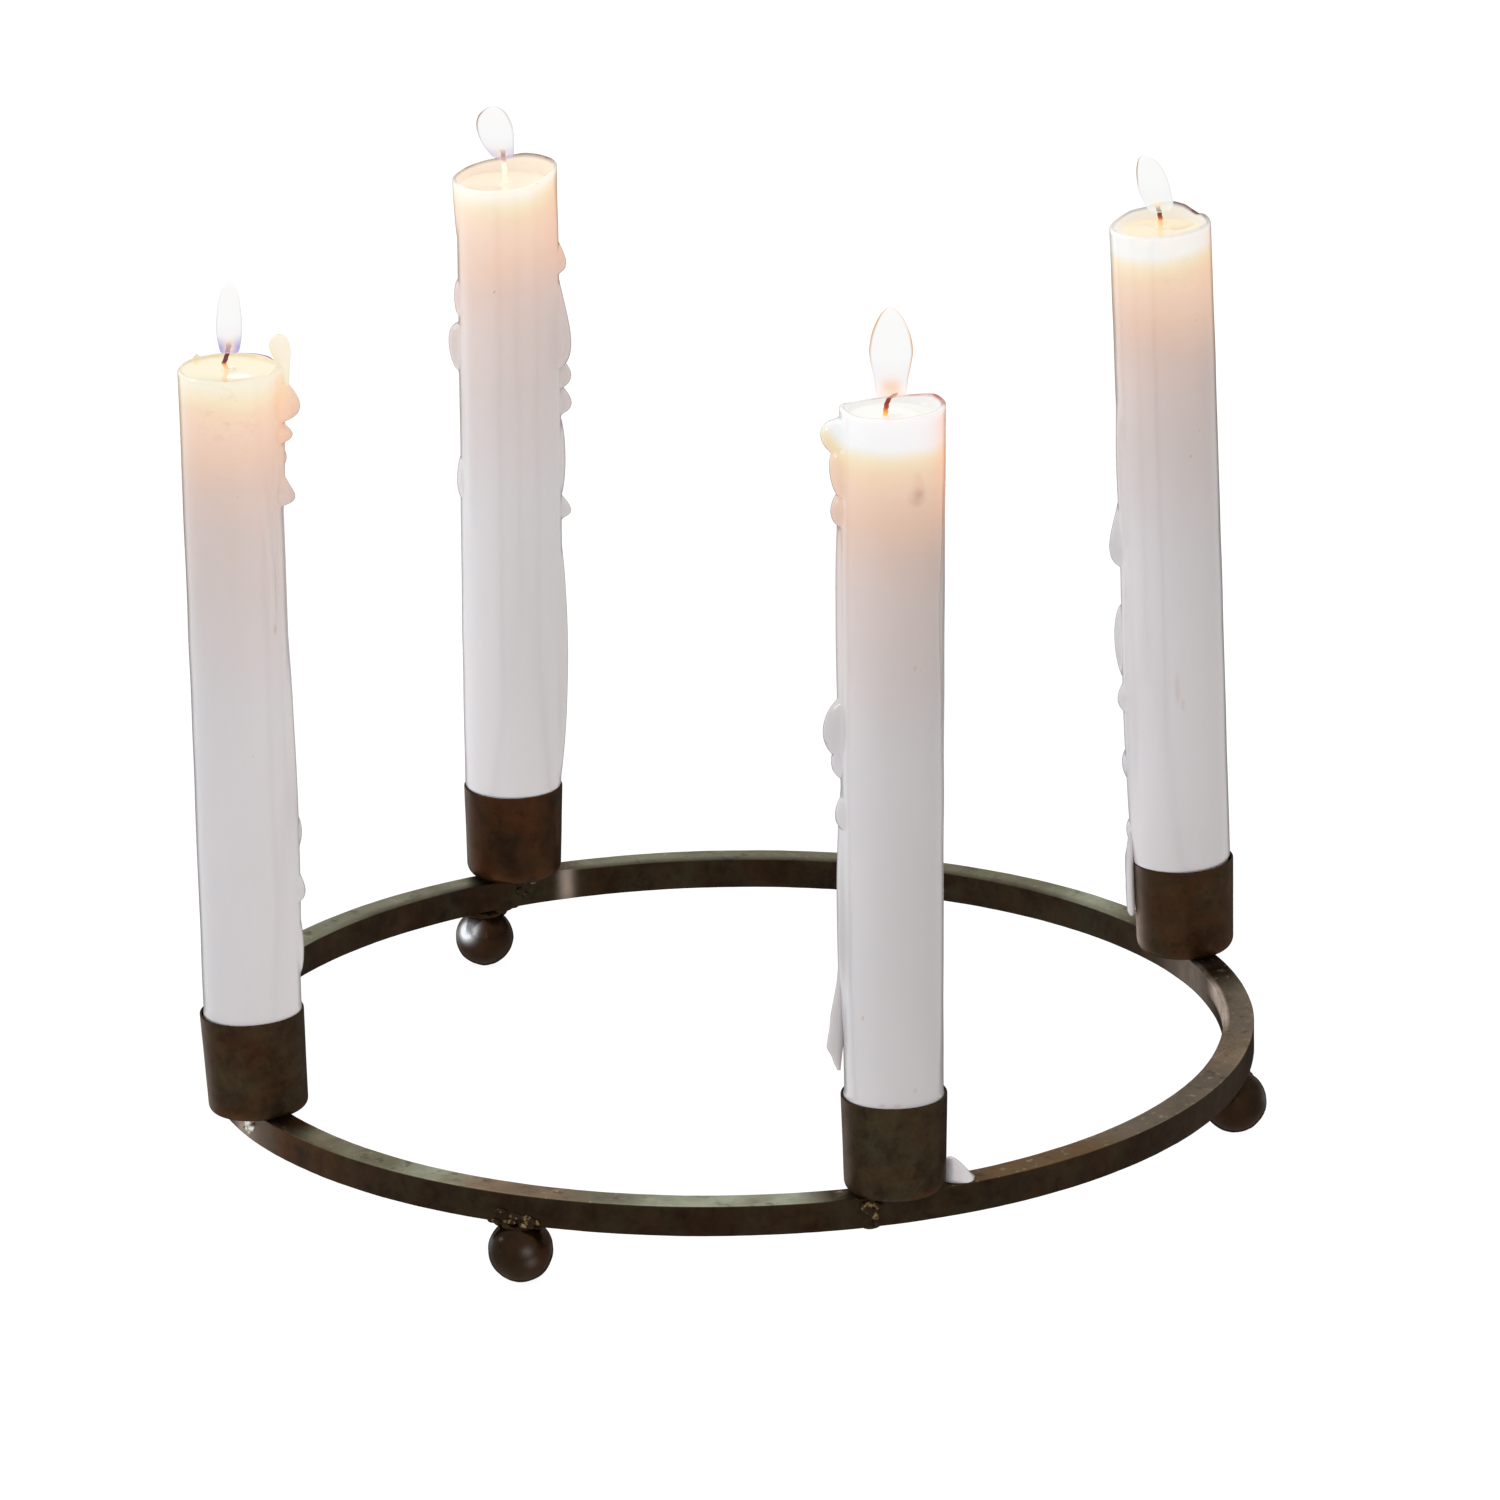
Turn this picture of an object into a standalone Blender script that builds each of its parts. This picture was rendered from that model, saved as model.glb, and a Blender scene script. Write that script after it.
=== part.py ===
"""Candle ring: an iron ring on three ball feet, with four cups and four half-burnt candles.

Metres, +Z up. The origin is the ring's centre on the surface that the feet stand on.
"""

import math

import bmesh
import bpy
from mathutils import Matrix, Vector

MM = 0.001
GAP = 0.3 * MM

# Ring, rolled from square bar
RING_OUTER_RADIUS = 125.0 * MM
BAR_WIDTH = 7.4 * MM
BAR_HEIGHT = 7.4 * MM
BAR_EDGE = 0.5 * MM
BAR_CENTRE_RADIUS = RING_OUTER_RADIUS - BAR_WIDTH / 2
RING_INNER_RADIUS = RING_OUTER_RADIUS - BAR_WIDTH
RING_TOP = 21.9 * MM
RING_BOTTOM = RING_TOP - BAR_HEIGHT
RING_SEGMENTS = 96

# Feet, welded balls with a small flat where they stand
FOOT_ANGLES = (30.0, 159.5, 286.6)
BALL_RADIUS = 7.25 * MM
BALL_CENTRE = 7.05 * MM
BALL_SEGMENTS = 20
BALL_STEPS = 9
COLLAR_RADIUS = 4.4 * MM
COLLAR_FLARE = 0.5 * MM

# Lumps of weld round a foot's collar: size, and place below the collar's top
COLLAR_LUMPS = (
    ((4.6 * MM, 4.2 * MM, 2.6 * MM), (0.0, -4.6 * MM, -1.4 * MM)),
    ((4.2 * MM, 3.6 * MM, 2.4 * MM), (0.4 * MM, 4.2 * MM, -1.3 * MM)),
)

# Weld beads over a foot: degrees from the foot's middle, and height above the bar's underside
FOOT_BEAD_SIZE = (1.6 * MM, 3.4 * MM, 2.0 * MM)
FOOT_BEADS_OUTSIDE = ((-1.35, 1.3 * MM), (0.0, 0.9 * MM), (1.35, 1.5 * MM))
FOOT_BEADS_INSIDE = ((-0.8, 1.1 * MM), (0.8, 1.1 * MM))

# Weld beads between the bar's sides and a cup's underside
CUP_BEAD_SIZE = (2.4 * MM, 4.2 * MM, 3.4 * MM)
CUP_BEAD_DROP = 1.9 * MM

# The butt weld that closes the ring: degrees from its middle, height above the underside, size
JOINT_ANGLE = 324.7
JOINT_BEADS = (
    (-0.9, 5.6 * MM, 2.6 * MM),
    (0.4, 3.6 * MM, 2.2 * MM),
    (-0.4, 1.5 * MM, 2.6 * MM),
)
JOINT_BEAD_RISE = 1.0 * MM
JOINT_UNDERSIDE = (5.0 * MM, 4.4 * MM, 1.2 * MM)

# Cups, thin spun shells, a little wider at the rim
CUP_RIM_RADIUS = 12.15 * MM
CUP_BASE_RADIUS = 11.65 * MM
CUP_CORNER_STEPS = 3
CUP_WALL = 0.5 * MM
CUP_SEGMENTS = 32

# Candles: the foot is shaved down to fit the cup, and shouldered just above its rim
CANDLE_SEGMENTS = 28
FOOT_RADIUS = 10.35 * MM
FOOT_SHAVED_TO = 2.6 * MM
FOOT_BEVEL_RADIUS = 9.8 * MM
FOOT_BEVEL_HEIGHT = 0.9 * MM
FOOT_SOLE_RADIUS = 8.0 * MM
NECK_RADIUS = 10.75 * MM
NECK_CLEARANCE = 0.2 * MM
SHOULDER_RISE = 1.2 * MM
BORE_RADIUS = 1.0 * MM
WICK_RADIUS = 0.7 * MM

# The burnt top, measured in from the candle's side and down from its rim
RIM_EDGE_INSET = 0.25 * MM
RIM_EDGE_DROP = 0.25 * MM
RIM_HEIGHT = 1.1 * MM
LIP_INSET = 0.5 * MM
LIP_DROP = 0.35 * MM
LIP_ABOVE_POOL = 0.15 * MM
POOL_DIP = 0.2 * MM

# How far a run of wax is buried in the candle, and how much slimmer its upper end is
DRIP_BURIED = 2.4 * MM
DRIP_TAPER = 0.35

# Every lean, and the sides that the wax ran down, are set out from this direction
SIDE_ANGLE = 40.0
RIGHT = SIDE_ANGLE
LEFT = SIDE_ANGLE + 180.0

# One entry for each cup and its candle. Angles in degrees, the rest in millimetres.
# cup_corner: how round the cup's lower edge is;
# offset: how far the cup stands outside the bar's middle; outer_bead and inner_bead: degrees
# from the cup's middle to its weld beads; shift: how far the candle stands to one side in its
# cup; top: mean rim height above the ring's upper face; rim: how much higher or lower the rim
# is, by angle; lip: how thick the rim is; pool: depth of the melted hollow, and pool_radius its
# floor's; bend: how far the wick's tip leans, and where to. A drip is (side, turn, top, bottom,
# reach from the axis, width).
STATIONS = (
    {
        "number": 1, "angle": 62.1, "offset": -1.7, "outer_bead": 2.1, "inner_bead": 7.4,
        "cup_height": 23.1, "cup_corner": 3.0,
        "cup_lean": -1.4, "candle_lean": -1.55, "shift": -0.55,
        "top": 183.1, "low_radius": 11.7, "high_radius": 12.0,
        "rim": (
            (20, -0.6), (40, -1.0), (66, -0.6), (84, -0.5), (97, 0.6), (113, 1.1), (130, 0.8),
            (146, -0.1), (165, -0.4), (188, -1.3), (220, -1.9), (246, -1.6), (275, -1.5),
            (310, -1.2), (340, -0.7),
        ),
        "lip": 1.0, "pool": 2.3, "pool_radius": 8.0,
        "wick_tip": 4.2, "bend": -0.6, "bend_at": RIGHT,
        "drips": (
            (LEFT, 4, 110.1, 96.7, 14.8, 4.8),
            (LEFT, -6, 91.1, 67.1, 14.2, 5.6),
            (LEFT, 10, 68.1, 61.1, 13.7, 4.4),
            (LEFT, 0, 54.1, 43.1, 13.0, 5.0),
            (LEFT, 12, 129.1, 101.1, 12.7, 5.0),
        ),
    },
    {
        "number": 2, "angle": 155.4, "offset": 0.0, "outer_bead": 0.6, "inner_bead": -0.8,
        "cup_height": 22.6, "cup_corner": 3.0,
        "cup_lean": 0.6, "candle_lean": 0.66, "shift": 0.0,
        "top": 180.2, "low_radius": 11.7, "high_radius": 12.2,
        "rim": (
            (9, 0.1), (40, 1.0), (66, 1.3), (89, 1.2), (110, 1.0), (123, 0.5), (146, -0.5),
            (172, -1.0), (201, -1.5), (222, -2.1), (240, -3.0), (258, -3.0), (280, -2.6),
            (300, -2.3), (319, -1.9), (336, -1.4), (352, -0.7),
        ),
        "lip": 0.8, "pool": 3.4, "pool_radius": 10.4,
        "wick_tip": 5.5, "bend": -1.6, "bend_at": RIGHT,
        "drips": (
            (LEFT, 5, 152.5, 144.0, 12.8, 4.6),
            (LEFT, -4, 141.5, 129.0, 14.4, 5.2),
            (LEFT, 8, 108.0, 98.5, 12.8, 4.4),
            (RIGHT, 4, 163.5, 154.8, 14.0, 4.6),
            (RIGHT, -5, 157.0, 130.4, 15.3, 6.0),
            (RIGHT, 6, 132.0, 118.5, 15.3, 5.4),
            (RIGHT, -2, 118.5, 98.0, 13.5, 5.4),
            (RIGHT, 4, 98.0, 90.5, 14.8, 4.6),
            (RIGHT, -8, 88.0, 26.0, 13.8, 8.0),
        ),
    },
    {
        "number": 3, "angle": 247.0, "offset": 1.5, "outer_bead": -1.4, "inner_bead": -2.8,
        "cup_height": 24.1, "cup_corner": 1.8,
        "cup_lean": -2.4, "candle_lean": -0.4, "shift": -0.55,
        "top": 180.0, "low_radius": 11.35, "high_radius": 11.5,
        "rim": (
            (10, -0.4), (40, 0.1), (75, 0.4), (107, 0.3), (143, 0.1), (184, 0.0), (208, -0.3),
            (235, -0.4), (270, -0.3), (310, -0.3), (346, -0.4),
        ),
        "lip": 0.6, "pool": 0.9, "pool_radius": 10.2,
        "wick_tip": 6.6, "bend": 1.3, "bend_at": RIGHT,
        "drips": (
            (RIGHT, 2, 178.5, 165.5, 16.2, 5.6),
            (RIGHT, -8, 167.5, 162.3, 14.2, 3.6),
            (RIGHT, 6, 162.5, 154.1, 13.2, 4.0),
            (RIGHT, -2, 158.0, 148.5, 14.4, 4.6),
            (RIGHT, 0, 115.5, 59.5, 12.6, 8.0),
            (RIGHT, 6, 72.0, 62.0, 13.5, 4.8),
            (RIGHT, -4, 60.0, 50.0, 13.7, 5.0),
            (RIGHT, 4, 51.5, 32.5, 12.9, 5.6),
        ),
    },
    {
        "number": 4, "angle": 328.0, "offset": 0.0, "outer_bead": 0.6, "inner_bead": -0.8,
        "cup_height": 22.7, "cup_corner": 2.4,
        "cup_lean": 0.0, "candle_lean": 0.5, "shift": -0.1,
        "top": 185.6, "low_radius": 11.4, "high_radius": 11.95,
        "rim": (
            (20, 0.9), (40, 1.0), (63, 1.1), (74, 1.1), (89, 0.5), (106, -0.1), (128, -0.9),
            (151, -1.1), (175, -1.1), (190, -0.7), (208, 0.2), (236, 0.3), (265, 0.2),
            (300, 0.5), (335, 0.8),
        ),
        "lip": 1.0, "pool": 1.9, "pool_radius": 9.4,
        "wick_tip": 7.2, "bend": 1.6, "bend_at": RIGHT,
        "drips": (
            (LEFT, 0, 183.0, 172.5, 15.6, 5.0),
            (LEFT, 8, 178.0, 157.0, 13.6, 6.0),
            (LEFT, 3, 118.0, 104.6, 15.9, 5.4),
            (LEFT, -8, 110.0, 99.5, 14.0, 5.0),
            (LEFT, 6, 95.0, 87.0, 13.3, 5.0),
            (LEFT, -2, 92.0, 46.0, 13.0, 7.0),
        ),
    },
)

# The upright tongue of wax on the rim of the third candle
TONGUE_NUMBER = 3
TONGUE_RADIUS = 11.4 * MM
TONGUE_TOP = 187.5 * MM
TONGUE_BOTTOM = 176.0 * MM
TONGUE_WIDTH = 5.4 * MM
TONGUE_THICKNESS = 2.2 * MM
TONGUE_TAPER = 0.5

# The curtain of wax that hangs clear of the foot of the fourth candle
CURTAIN_NUMBER = 4
CURTAIN_TOP = 60.0 * MM
CURTAIN_BOTTOM = 28.6 * MM
CURTAIN_RADIUS = 13.6 * MM
CURTAIN_THICKNESS = 2.6 * MM
CURTAIN_WIDTH = 7.0 * MM
CURTAIN_FLARE = 3.0
CURTAIN_TAPER = 0.2

# The run of wax that flowed over the rim of the first cup and down its side
OVERFLOW_NUMBER = 1
OVERFLOW_TOP = 45.0 * MM
OVERFLOW_BOTTOM = 10.0 * MM
OVERFLOW_RADIUS = 13.6 * MM
OVERFLOW_THICKNESS = 1.6 * MM
OVERFLOW_WIDTH = 6.0 * MM
BRIDGE_SIZE = (4.6 * MM, 5.0 * MM, 5.4 * MM)
BRIDGE_RADIUS = 12.1 * MM
BRIDGE_RISE = 3.4 * MM

# The spilt drop of wax beside the fourth cup
SPILL_ANGLE = 335.5
SPILL_LENGTH = 7.6 * MM
SPILL_WIDTH = 7.0 * MM
SPILL_HIGH_END = 16.0 * MM
SPILL_LOW_END = 0.8 * MM

PART = "candle_ring"


def polar(radius, degrees, height=0.0):
    """A point at a radius and an angle round the Z axis."""
    turn = math.radians(degrees)
    return Vector((radius * math.cos(turn), radius * math.sin(turn), height))


def turned_to(degrees):
    """A rotation about the Z axis."""
    return Matrix.Rotation(math.radians(degrees), 4, "Z")


def leaning(degrees):
    """A rotation that leans the Z axis towards SIDE_ANGLE."""
    axis = polar(1.0, SIDE_ANGLE + 90.0)
    return Matrix.Rotation(math.radians(degrees), 4, axis)


def clear_scene():
    for obj in list(bpy.data.objects):
        bpy.data.objects.remove(obj, do_unlink=True)


def new_collection(name):
    collection = bpy.data.collections.new(name)
    bpy.context.scene.collection.children.link(collection)
    return collection


def surface(name, colour, roughness, metallic):
    """A plain material of one colour."""
    material = bpy.data.materials.new(name)
    material.use_nodes = True
    shader = material.node_tree.nodes["Principled BSDF"]
    shader.inputs["Base Color"].default_value = (*colour, 1.0)
    shader.inputs["Roughness"].default_value = roughness
    shader.inputs["Metallic"].default_value = metallic
    return material


def iron_surface(name):
    return surface(name, (0.052, 0.036, 0.026), 0.45, 0.8)


def wax_surface(name):
    return surface(name, (0.82, 0.78, 0.77), 0.4, 0.0)


def wick_surface(name):
    return surface(name, (0.05, 0.03, 0.03), 0.9, 0.0)


def revolved(name, outline, segments, closed, collection):
    """An outline of (radius, height) points, carried round the Z axis."""
    mesh = bpy.data.meshes.new(name)
    points = [(radius, 0.0, height) for radius, height in outline]
    edges = [(i, i + 1) for i in range(len(points) - 1)]
    if closed:
        edges.append((len(points) - 1, 0))
    mesh.from_pydata(points, edges, [])
    obj = bpy.data.objects.new(name, mesh)
    collection.objects.link(obj)
    turn = obj.modifiers.new("turn", "SCREW")
    turn.axis = "Z"
    turn.angle = math.tau
    turn.steps = segments
    turn.render_steps = segments
    turn.use_merge_vertices = True
    turn.merge_threshold = 0.00001
    return obj


def settle(obj):
    """Carries out an object's modifiers on its mesh."""
    bpy.context.view_layer.update()
    graph = bpy.context.evaluated_depsgraph_get()
    mesh = bpy.data.meshes.new_from_object(obj.evaluated_get(graph))
    obj.modifiers.clear()
    obj.data = mesh


def lump(size, place, turn, rings=6, sides=8, taper=0.0):
    """A rounded lump, its size given across each axis, slimmer at the top by its taper."""
    mesh = bpy.data.meshes.new("lump")
    shape = bmesh.new()
    bmesh.ops.create_uvsphere(shape, u_segments=sides, v_segments=rings, radius=0.5)
    for vertex in shape.verts:
        slim = 1.0 - taper * (vertex.co.z + 0.5)
        vertex.co.x *= size[0] * slim
        vertex.co.y *= size[1] * slim
        vertex.co.z *= size[2]
    shape.to_mesh(mesh)
    shape.free()
    obj = bpy.data.objects.new("lump", mesh)
    obj.matrix_world = Matrix.Translation(place) @ turn
    return obj


def fuse(obj, lumps, name):
    """Joins lumps to an object, so that they are one body."""
    group = new_collection(name + "_lumps")
    for piece in lumps:
        piece.display_type = "WIRE"
        piece.hide_render = True
        group.objects.link(piece)
    union = obj.modifiers.new("fuse", "BOOLEAN")
    union.operation = "UNION"
    union.operand_type = "COLLECTION"
    union.collection = group
    union.solver = "EXACT"
    settle(obj)
    for piece in lumps:
        bpy.data.objects.remove(piece, do_unlink=True)
    bpy.data.collections.remove(group)


def finish(obj, material, smooth_below=40.0):
    obj.data.materials.clear()
    obj.data.materials.append(material)
    obj.data.shade_smooth()
    obj.data.set_sharp_from_angle(angle=math.radians(smooth_below))


def weld_bead(size, radius, degrees, height):
    """A bead of weld, with its long side along the bar."""
    return lump(size, polar(radius, degrees, height), turned_to(degrees), rings=5, sides=6)


def foot_beads(degrees):
    """Beads along the lower outer and inner edges of the bar, over one foot."""
    beads = []
    for step, rise in FOOT_BEADS_OUTSIDE:
        height = RING_BOTTOM + rise
        beads.append(weld_bead(FOOT_BEAD_SIZE, RING_OUTER_RADIUS, degrees + step, height))
    for step, rise in FOOT_BEADS_INSIDE:
        height = RING_BOTTOM + rise
        beads.append(weld_bead(FOOT_BEAD_SIZE, RING_INNER_RADIUS, degrees + step, height))
    return beads


def cup_beads(station):
    """Beads in the corners between the bar's sides and the underside of one cup."""
    level = RING_TOP - CUP_BEAD_DROP
    outer = station["angle"] + station["outer_bead"]
    inner = station["angle"] + station["inner_bead"]
    return [
        weld_bead(CUP_BEAD_SIZE, RING_OUTER_RADIUS, outer, level),
        weld_bead(CUP_BEAD_SIZE, RING_INNER_RADIUS, inner, level),
    ]


def joint_beads():
    """The lumpy butt weld across the bar's outer side and underside."""
    beads = []
    for step, rise, size in JOINT_BEADS:
        across = (JOINT_BEAD_RISE, size, size)
        height = RING_BOTTOM + rise
        beads.append(weld_bead(across, RING_OUTER_RADIUS, JOINT_ANGLE + step, height))
    beads.append(weld_bead(JOINT_UNDERSIDE, BAR_CENTRE_RADIUS, JOINT_ANGLE, RING_BOTTOM))
    return beads


def make_ring(parts):
    outer = RING_OUTER_RADIUS
    inner = RING_INNER_RADIUS
    outline = [
        (outer - BAR_EDGE, RING_TOP),
        (outer, RING_TOP - BAR_EDGE),
        (outer, RING_BOTTOM + BAR_EDGE),
        (outer - BAR_EDGE, RING_BOTTOM),
        (inner + BAR_EDGE, RING_BOTTOM),
        (inner, RING_BOTTOM + BAR_EDGE),
        (inner, RING_TOP - BAR_EDGE),
        (inner + BAR_EDGE, RING_TOP),
    ]
    ring = revolved("ring_bar", outline, RING_SEGMENTS, True, parts)
    beads = joint_beads()
    for degrees in FOOT_ANGLES:
        beads += foot_beads(degrees)
    for station in STATIONS:
        beads += cup_beads(station)
    fuse(ring, beads, "ring_bar")
    finish(ring, iron_surface("ring_iron"))


def make_foot(parts, number, degrees):
    """A ball with a flat to stand on, and the weld collar that carries the bar."""
    flat = math.sqrt(BALL_RADIUS ** 2 - BALL_CENTRE ** 2)
    rise = math.sqrt(BALL_RADIUS ** 2 - (COLLAR_RADIUS + COLLAR_FLARE) ** 2)
    top = RING_BOTTOM - GAP
    start = math.asin(rise / BALL_RADIUS)
    end = -math.acos(flat / BALL_RADIUS)
    arc = [start + (end - start) * i / BALL_STEPS for i in range(BALL_STEPS + 1)]
    outline = [(0.0, top), (COLLAR_RADIUS, top)]
    outline += [
        (BALL_RADIUS * math.cos(a), BALL_CENTRE + BALL_RADIUS * math.sin(a)) for a in arc
    ]
    outline.append((0.0, 0.0))
    name = f"ball_foot_{number}"
    foot = revolved(name, outline, BALL_SEGMENTS, False, parts)
    settle(foot)
    lumps = []
    for size, place in COLLAR_LUMPS:
        lumps.append(lump(size, Vector(place) + Vector((0.0, 0.0, top)), Matrix.Identity(4)))
    fuse(foot, lumps, name)
    foot.location = polar(BAR_CENTRE_RADIUS, degrees)
    foot.rotation_euler.z = math.radians(degrees)
    finish(foot, iron_surface(f"foot_iron_{number}"))


def cup_frame(station):
    """Where a cup stands: the middle of its underside, and its lean."""
    lean = station["cup_lean"]
    flat = CUP_BASE_RADIUS - station["cup_corner"] * MM
    lift = GAP + flat * abs(math.sin(math.radians(lean)))
    radius = BAR_CENTRE_RADIUS + station["offset"] * MM
    place = polar(radius, station["angle"], RING_TOP + lift)
    return Matrix.Translation(place) @ leaning(lean)


def rim_height(station, base):
    """How high the cup's rim stands above a candle's foot at this height."""
    return cup_frame(station).translation.z - RING_TOP + station["cup_height"] * MM - base


def make_cup(parts, station):
    corner = station["cup_corner"] * MM
    centre = CUP_BASE_RADIUS - corner
    outline = [(CUP_RIM_RADIUS, station["cup_height"] * MM)]
    for i in range(CUP_CORNER_STEPS + 1):
        turn = math.pi / 2 * i / CUP_CORNER_STEPS
        outline.append((centre + corner * math.cos(turn), corner * (1 - math.sin(turn))))
    outline.append((0.0, 0.0))
    name = f"cup_{station['number']}"
    cup = revolved(name, outline, CUP_SEGMENTS, False, parts)
    wall = cup.modifiers.new("wall", "SOLIDIFY")
    wall.thickness = CUP_WALL
    wall.offset = -1.0
    wall.use_even_offset = True
    cup.matrix_world = cup_frame(station)
    finish(cup, iron_surface(f"cup_iron_{station['number']}"))


def candle_frame(station):
    """Where a candle stands in its cup: the middle of its foot, and its lean."""
    slack = math.radians(abs(station["candle_lean"] - station["cup_lean"]))
    floor = CUP_WALL + GAP + FOOT_RADIUS * math.sin(slack)
    seat = cup_frame(station) @ Vector((0.0, 0.0, floor))
    side = polar(station["shift"] * MM, SIDE_ANGLE)
    return Matrix.Translation(seat + side) @ leaning(station["candle_lean"])


def drip(station, side, turn, top, bottom, reach, width, base):
    """A run of wax that clings to the candle, fullest near its lower end."""
    outer = reach * MM
    depth = outer - station["low_radius"] * MM + DRIP_BURIED
    size = (depth, width * MM, (top - bottom) * MM)
    angle = side + turn
    middle = (top + bottom) / 2 * MM - base
    return lump(size, polar(outer - depth / 2, angle, middle), turned_to(angle), taper=DRIP_TAPER)


def tongue(base):
    """A thin upright tongue of wax, its foot buried in the rim."""
    height = TONGUE_TOP - TONGUE_BOTTOM
    size = (TONGUE_WIDTH, TONGUE_THICKNESS, height)
    place = polar(TONGUE_RADIUS, RIGHT, TONGUE_BOTTOM + height / 2 - base)
    turn = turned_to(RIGHT) @ Matrix.Rotation(math.pi, 4, "Y")
    return lump(size, place, turn, rings=8, taper=TONGUE_TAPER)


def curtain(base):
    """A flake of wax that leaves the candle's side and hangs beside it."""
    height = CURTAIN_TOP - CURTAIN_BOTTOM
    size = (CURTAIN_THICKNESS, CURTAIN_WIDTH, height)
    place = polar(CURTAIN_RADIUS, LEFT, CURTAIN_BOTTOM + height / 2 - base)
    turn = turned_to(LEFT) @ Matrix.Rotation(math.radians(-CURTAIN_FLARE), 4, "Y")
    return lump(size, place, turn, rings=8, taper=CURTAIN_TAPER)


def overflow(station, base):
    """Wax that crosses the cup's rim and runs down outside it, clear of the metal."""
    height = OVERFLOW_TOP - OVERFLOW_BOTTOM
    size = (OVERFLOW_THICKNESS, OVERFLOW_WIDTH, height)
    place = polar(OVERFLOW_RADIUS, LEFT, OVERFLOW_BOTTOM + height / 2 - base)
    run = lump(size, place, turned_to(LEFT), rings=8)
    rise = rim_height(station, base) + BRIDGE_RISE
    bridge = lump(BRIDGE_SIZE, polar(BRIDGE_RADIUS, LEFT, rise), turned_to(LEFT))
    return [run, bridge]


def candle_outline(station, base, length):
    """The candle's half section, from the rim down the outside and back up the wick's bore."""
    neck = rim_height(station, base) + NECK_CLEARANCE
    low = station["low_radius"] * MM
    high = station["high_radius"] * MM
    lip = station["lip"] * MM
    pool = length - station["pool"] * MM
    return [
        (high - lip, length),
        (high - RIM_EDGE_INSET, length - RIM_EDGE_DROP),
        (high, length - RIM_HEIGHT),
        (low, neck + SHOULDER_RISE),
        (NECK_RADIUS, neck),
        (FOOT_RADIUS, FOOT_SHAVED_TO),
        (FOOT_BEVEL_RADIUS, FOOT_BEVEL_HEIGHT),
        (FOOT_SOLE_RADIUS, 0.0),
        (BORE_RADIUS, 0.0),
        (BORE_RADIUS, pool - POOL_DIP),
        (station["pool_radius"] * MM, pool),
        (high - lip - LIP_INSET, length - LIP_DROP),
    ]


def rim_rise(station, degrees):
    """How far the rim stands above its mean height, in this direction."""
    table = station["rim"]
    degrees %= 360
    following = next((i for i, (angle, _) in enumerate(table) if angle > degrees), 0)
    before, after = table[following - 1], table[following]
    share = ((degrees - before[0]) % 360) / ((after[0] - before[0]) % 360)
    share = share * share * (3 - 2 * share)
    return (before[1] + (after[1] - before[1]) * share) * MM


def shape_rim(candle, station, length):
    """Raises and lowers the rim as it was burnt, and leaves the pool level."""
    pool = length - station["pool"] * MM
    inside = (station["pool_radius"] + 0.05) * MM
    for vertex in candle.data.vertices:
        radius = math.hypot(vertex.co.x, vertex.co.y)
        if radius < inside or vertex.co.z < length - RIM_HEIGHT - GAP:
            continue
        turn = math.degrees(math.atan2(vertex.co.y, vertex.co.x))
        vertex.co.z += rim_rise(station, turn)
        if radius < (station["high_radius"] - 0.3) * MM:
            vertex.co.z = max(vertex.co.z, pool + LIP_ABOVE_POOL)


def make_candle(parts, station):
    frame = candle_frame(station)
    base = frame.translation.z - RING_TOP
    length = station["top"] * MM - base
    name = f"candle_{station['number']}"
    outline = candle_outline(station, base, length)
    candle = revolved(name, outline, CANDLE_SEGMENTS, True, parts)
    settle(candle)
    shape_rim(candle, station, length)
    lumps = [drip(station, *values, base) for values in station["drips"]]
    if station["number"] == OVERFLOW_NUMBER:
        lumps += overflow(station, base)
    if station["number"] == TONGUE_NUMBER:
        lumps.append(tongue(base))
    if station["number"] == CURTAIN_NUMBER:
        lumps.append(curtain(base))
    fuse(candle, lumps, name)
    candle.matrix_world = frame
    finish(candle, wax_surface(f"wax_{station['number']}"))


def wick_route(station, length):
    """Points up the middle of the candle, curling over above the pool."""
    pool = length - station["pool"] * MM
    tip = length + station["wick_tip"] * MM
    steps = 6
    route = [Vector((0.0, 0.0, GAP)), Vector((0.0, 0.0, pool))]
    for i in range(1, steps + 1):
        share = i / steps
        sideways = polar(station["bend"] * MM * share ** 2, station["bend_at"])
        route.append(sideways + Vector((0.0, 0.0, pool + (tip - pool) * share)))
    return route


def make_wick(parts, station):
    frame = candle_frame(station)
    length = station["top"] * MM - (frame.translation.z - RING_TOP)
    name = f"wick_{station['number']}"
    curve = bpy.data.curves.new(name, "CURVE")
    curve.dimensions = "3D"
    curve.bevel_depth = WICK_RADIUS
    curve.bevel_resolution = 2
    curve.use_fill_caps = True
    route = wick_route(station, length)
    spline = curve.splines.new("POLY")
    spline.points.add(len(route) - 1)
    for point, place in zip(spline.points, route):
        point.co = (*place, 1.0)
    wick = bpy.data.objects.new(name, curve)
    wick.matrix_world = frame
    curve.materials.append(wick_surface(f"burnt_cotton_{station['number']}"))
    parts.objects.link(wick)


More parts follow.
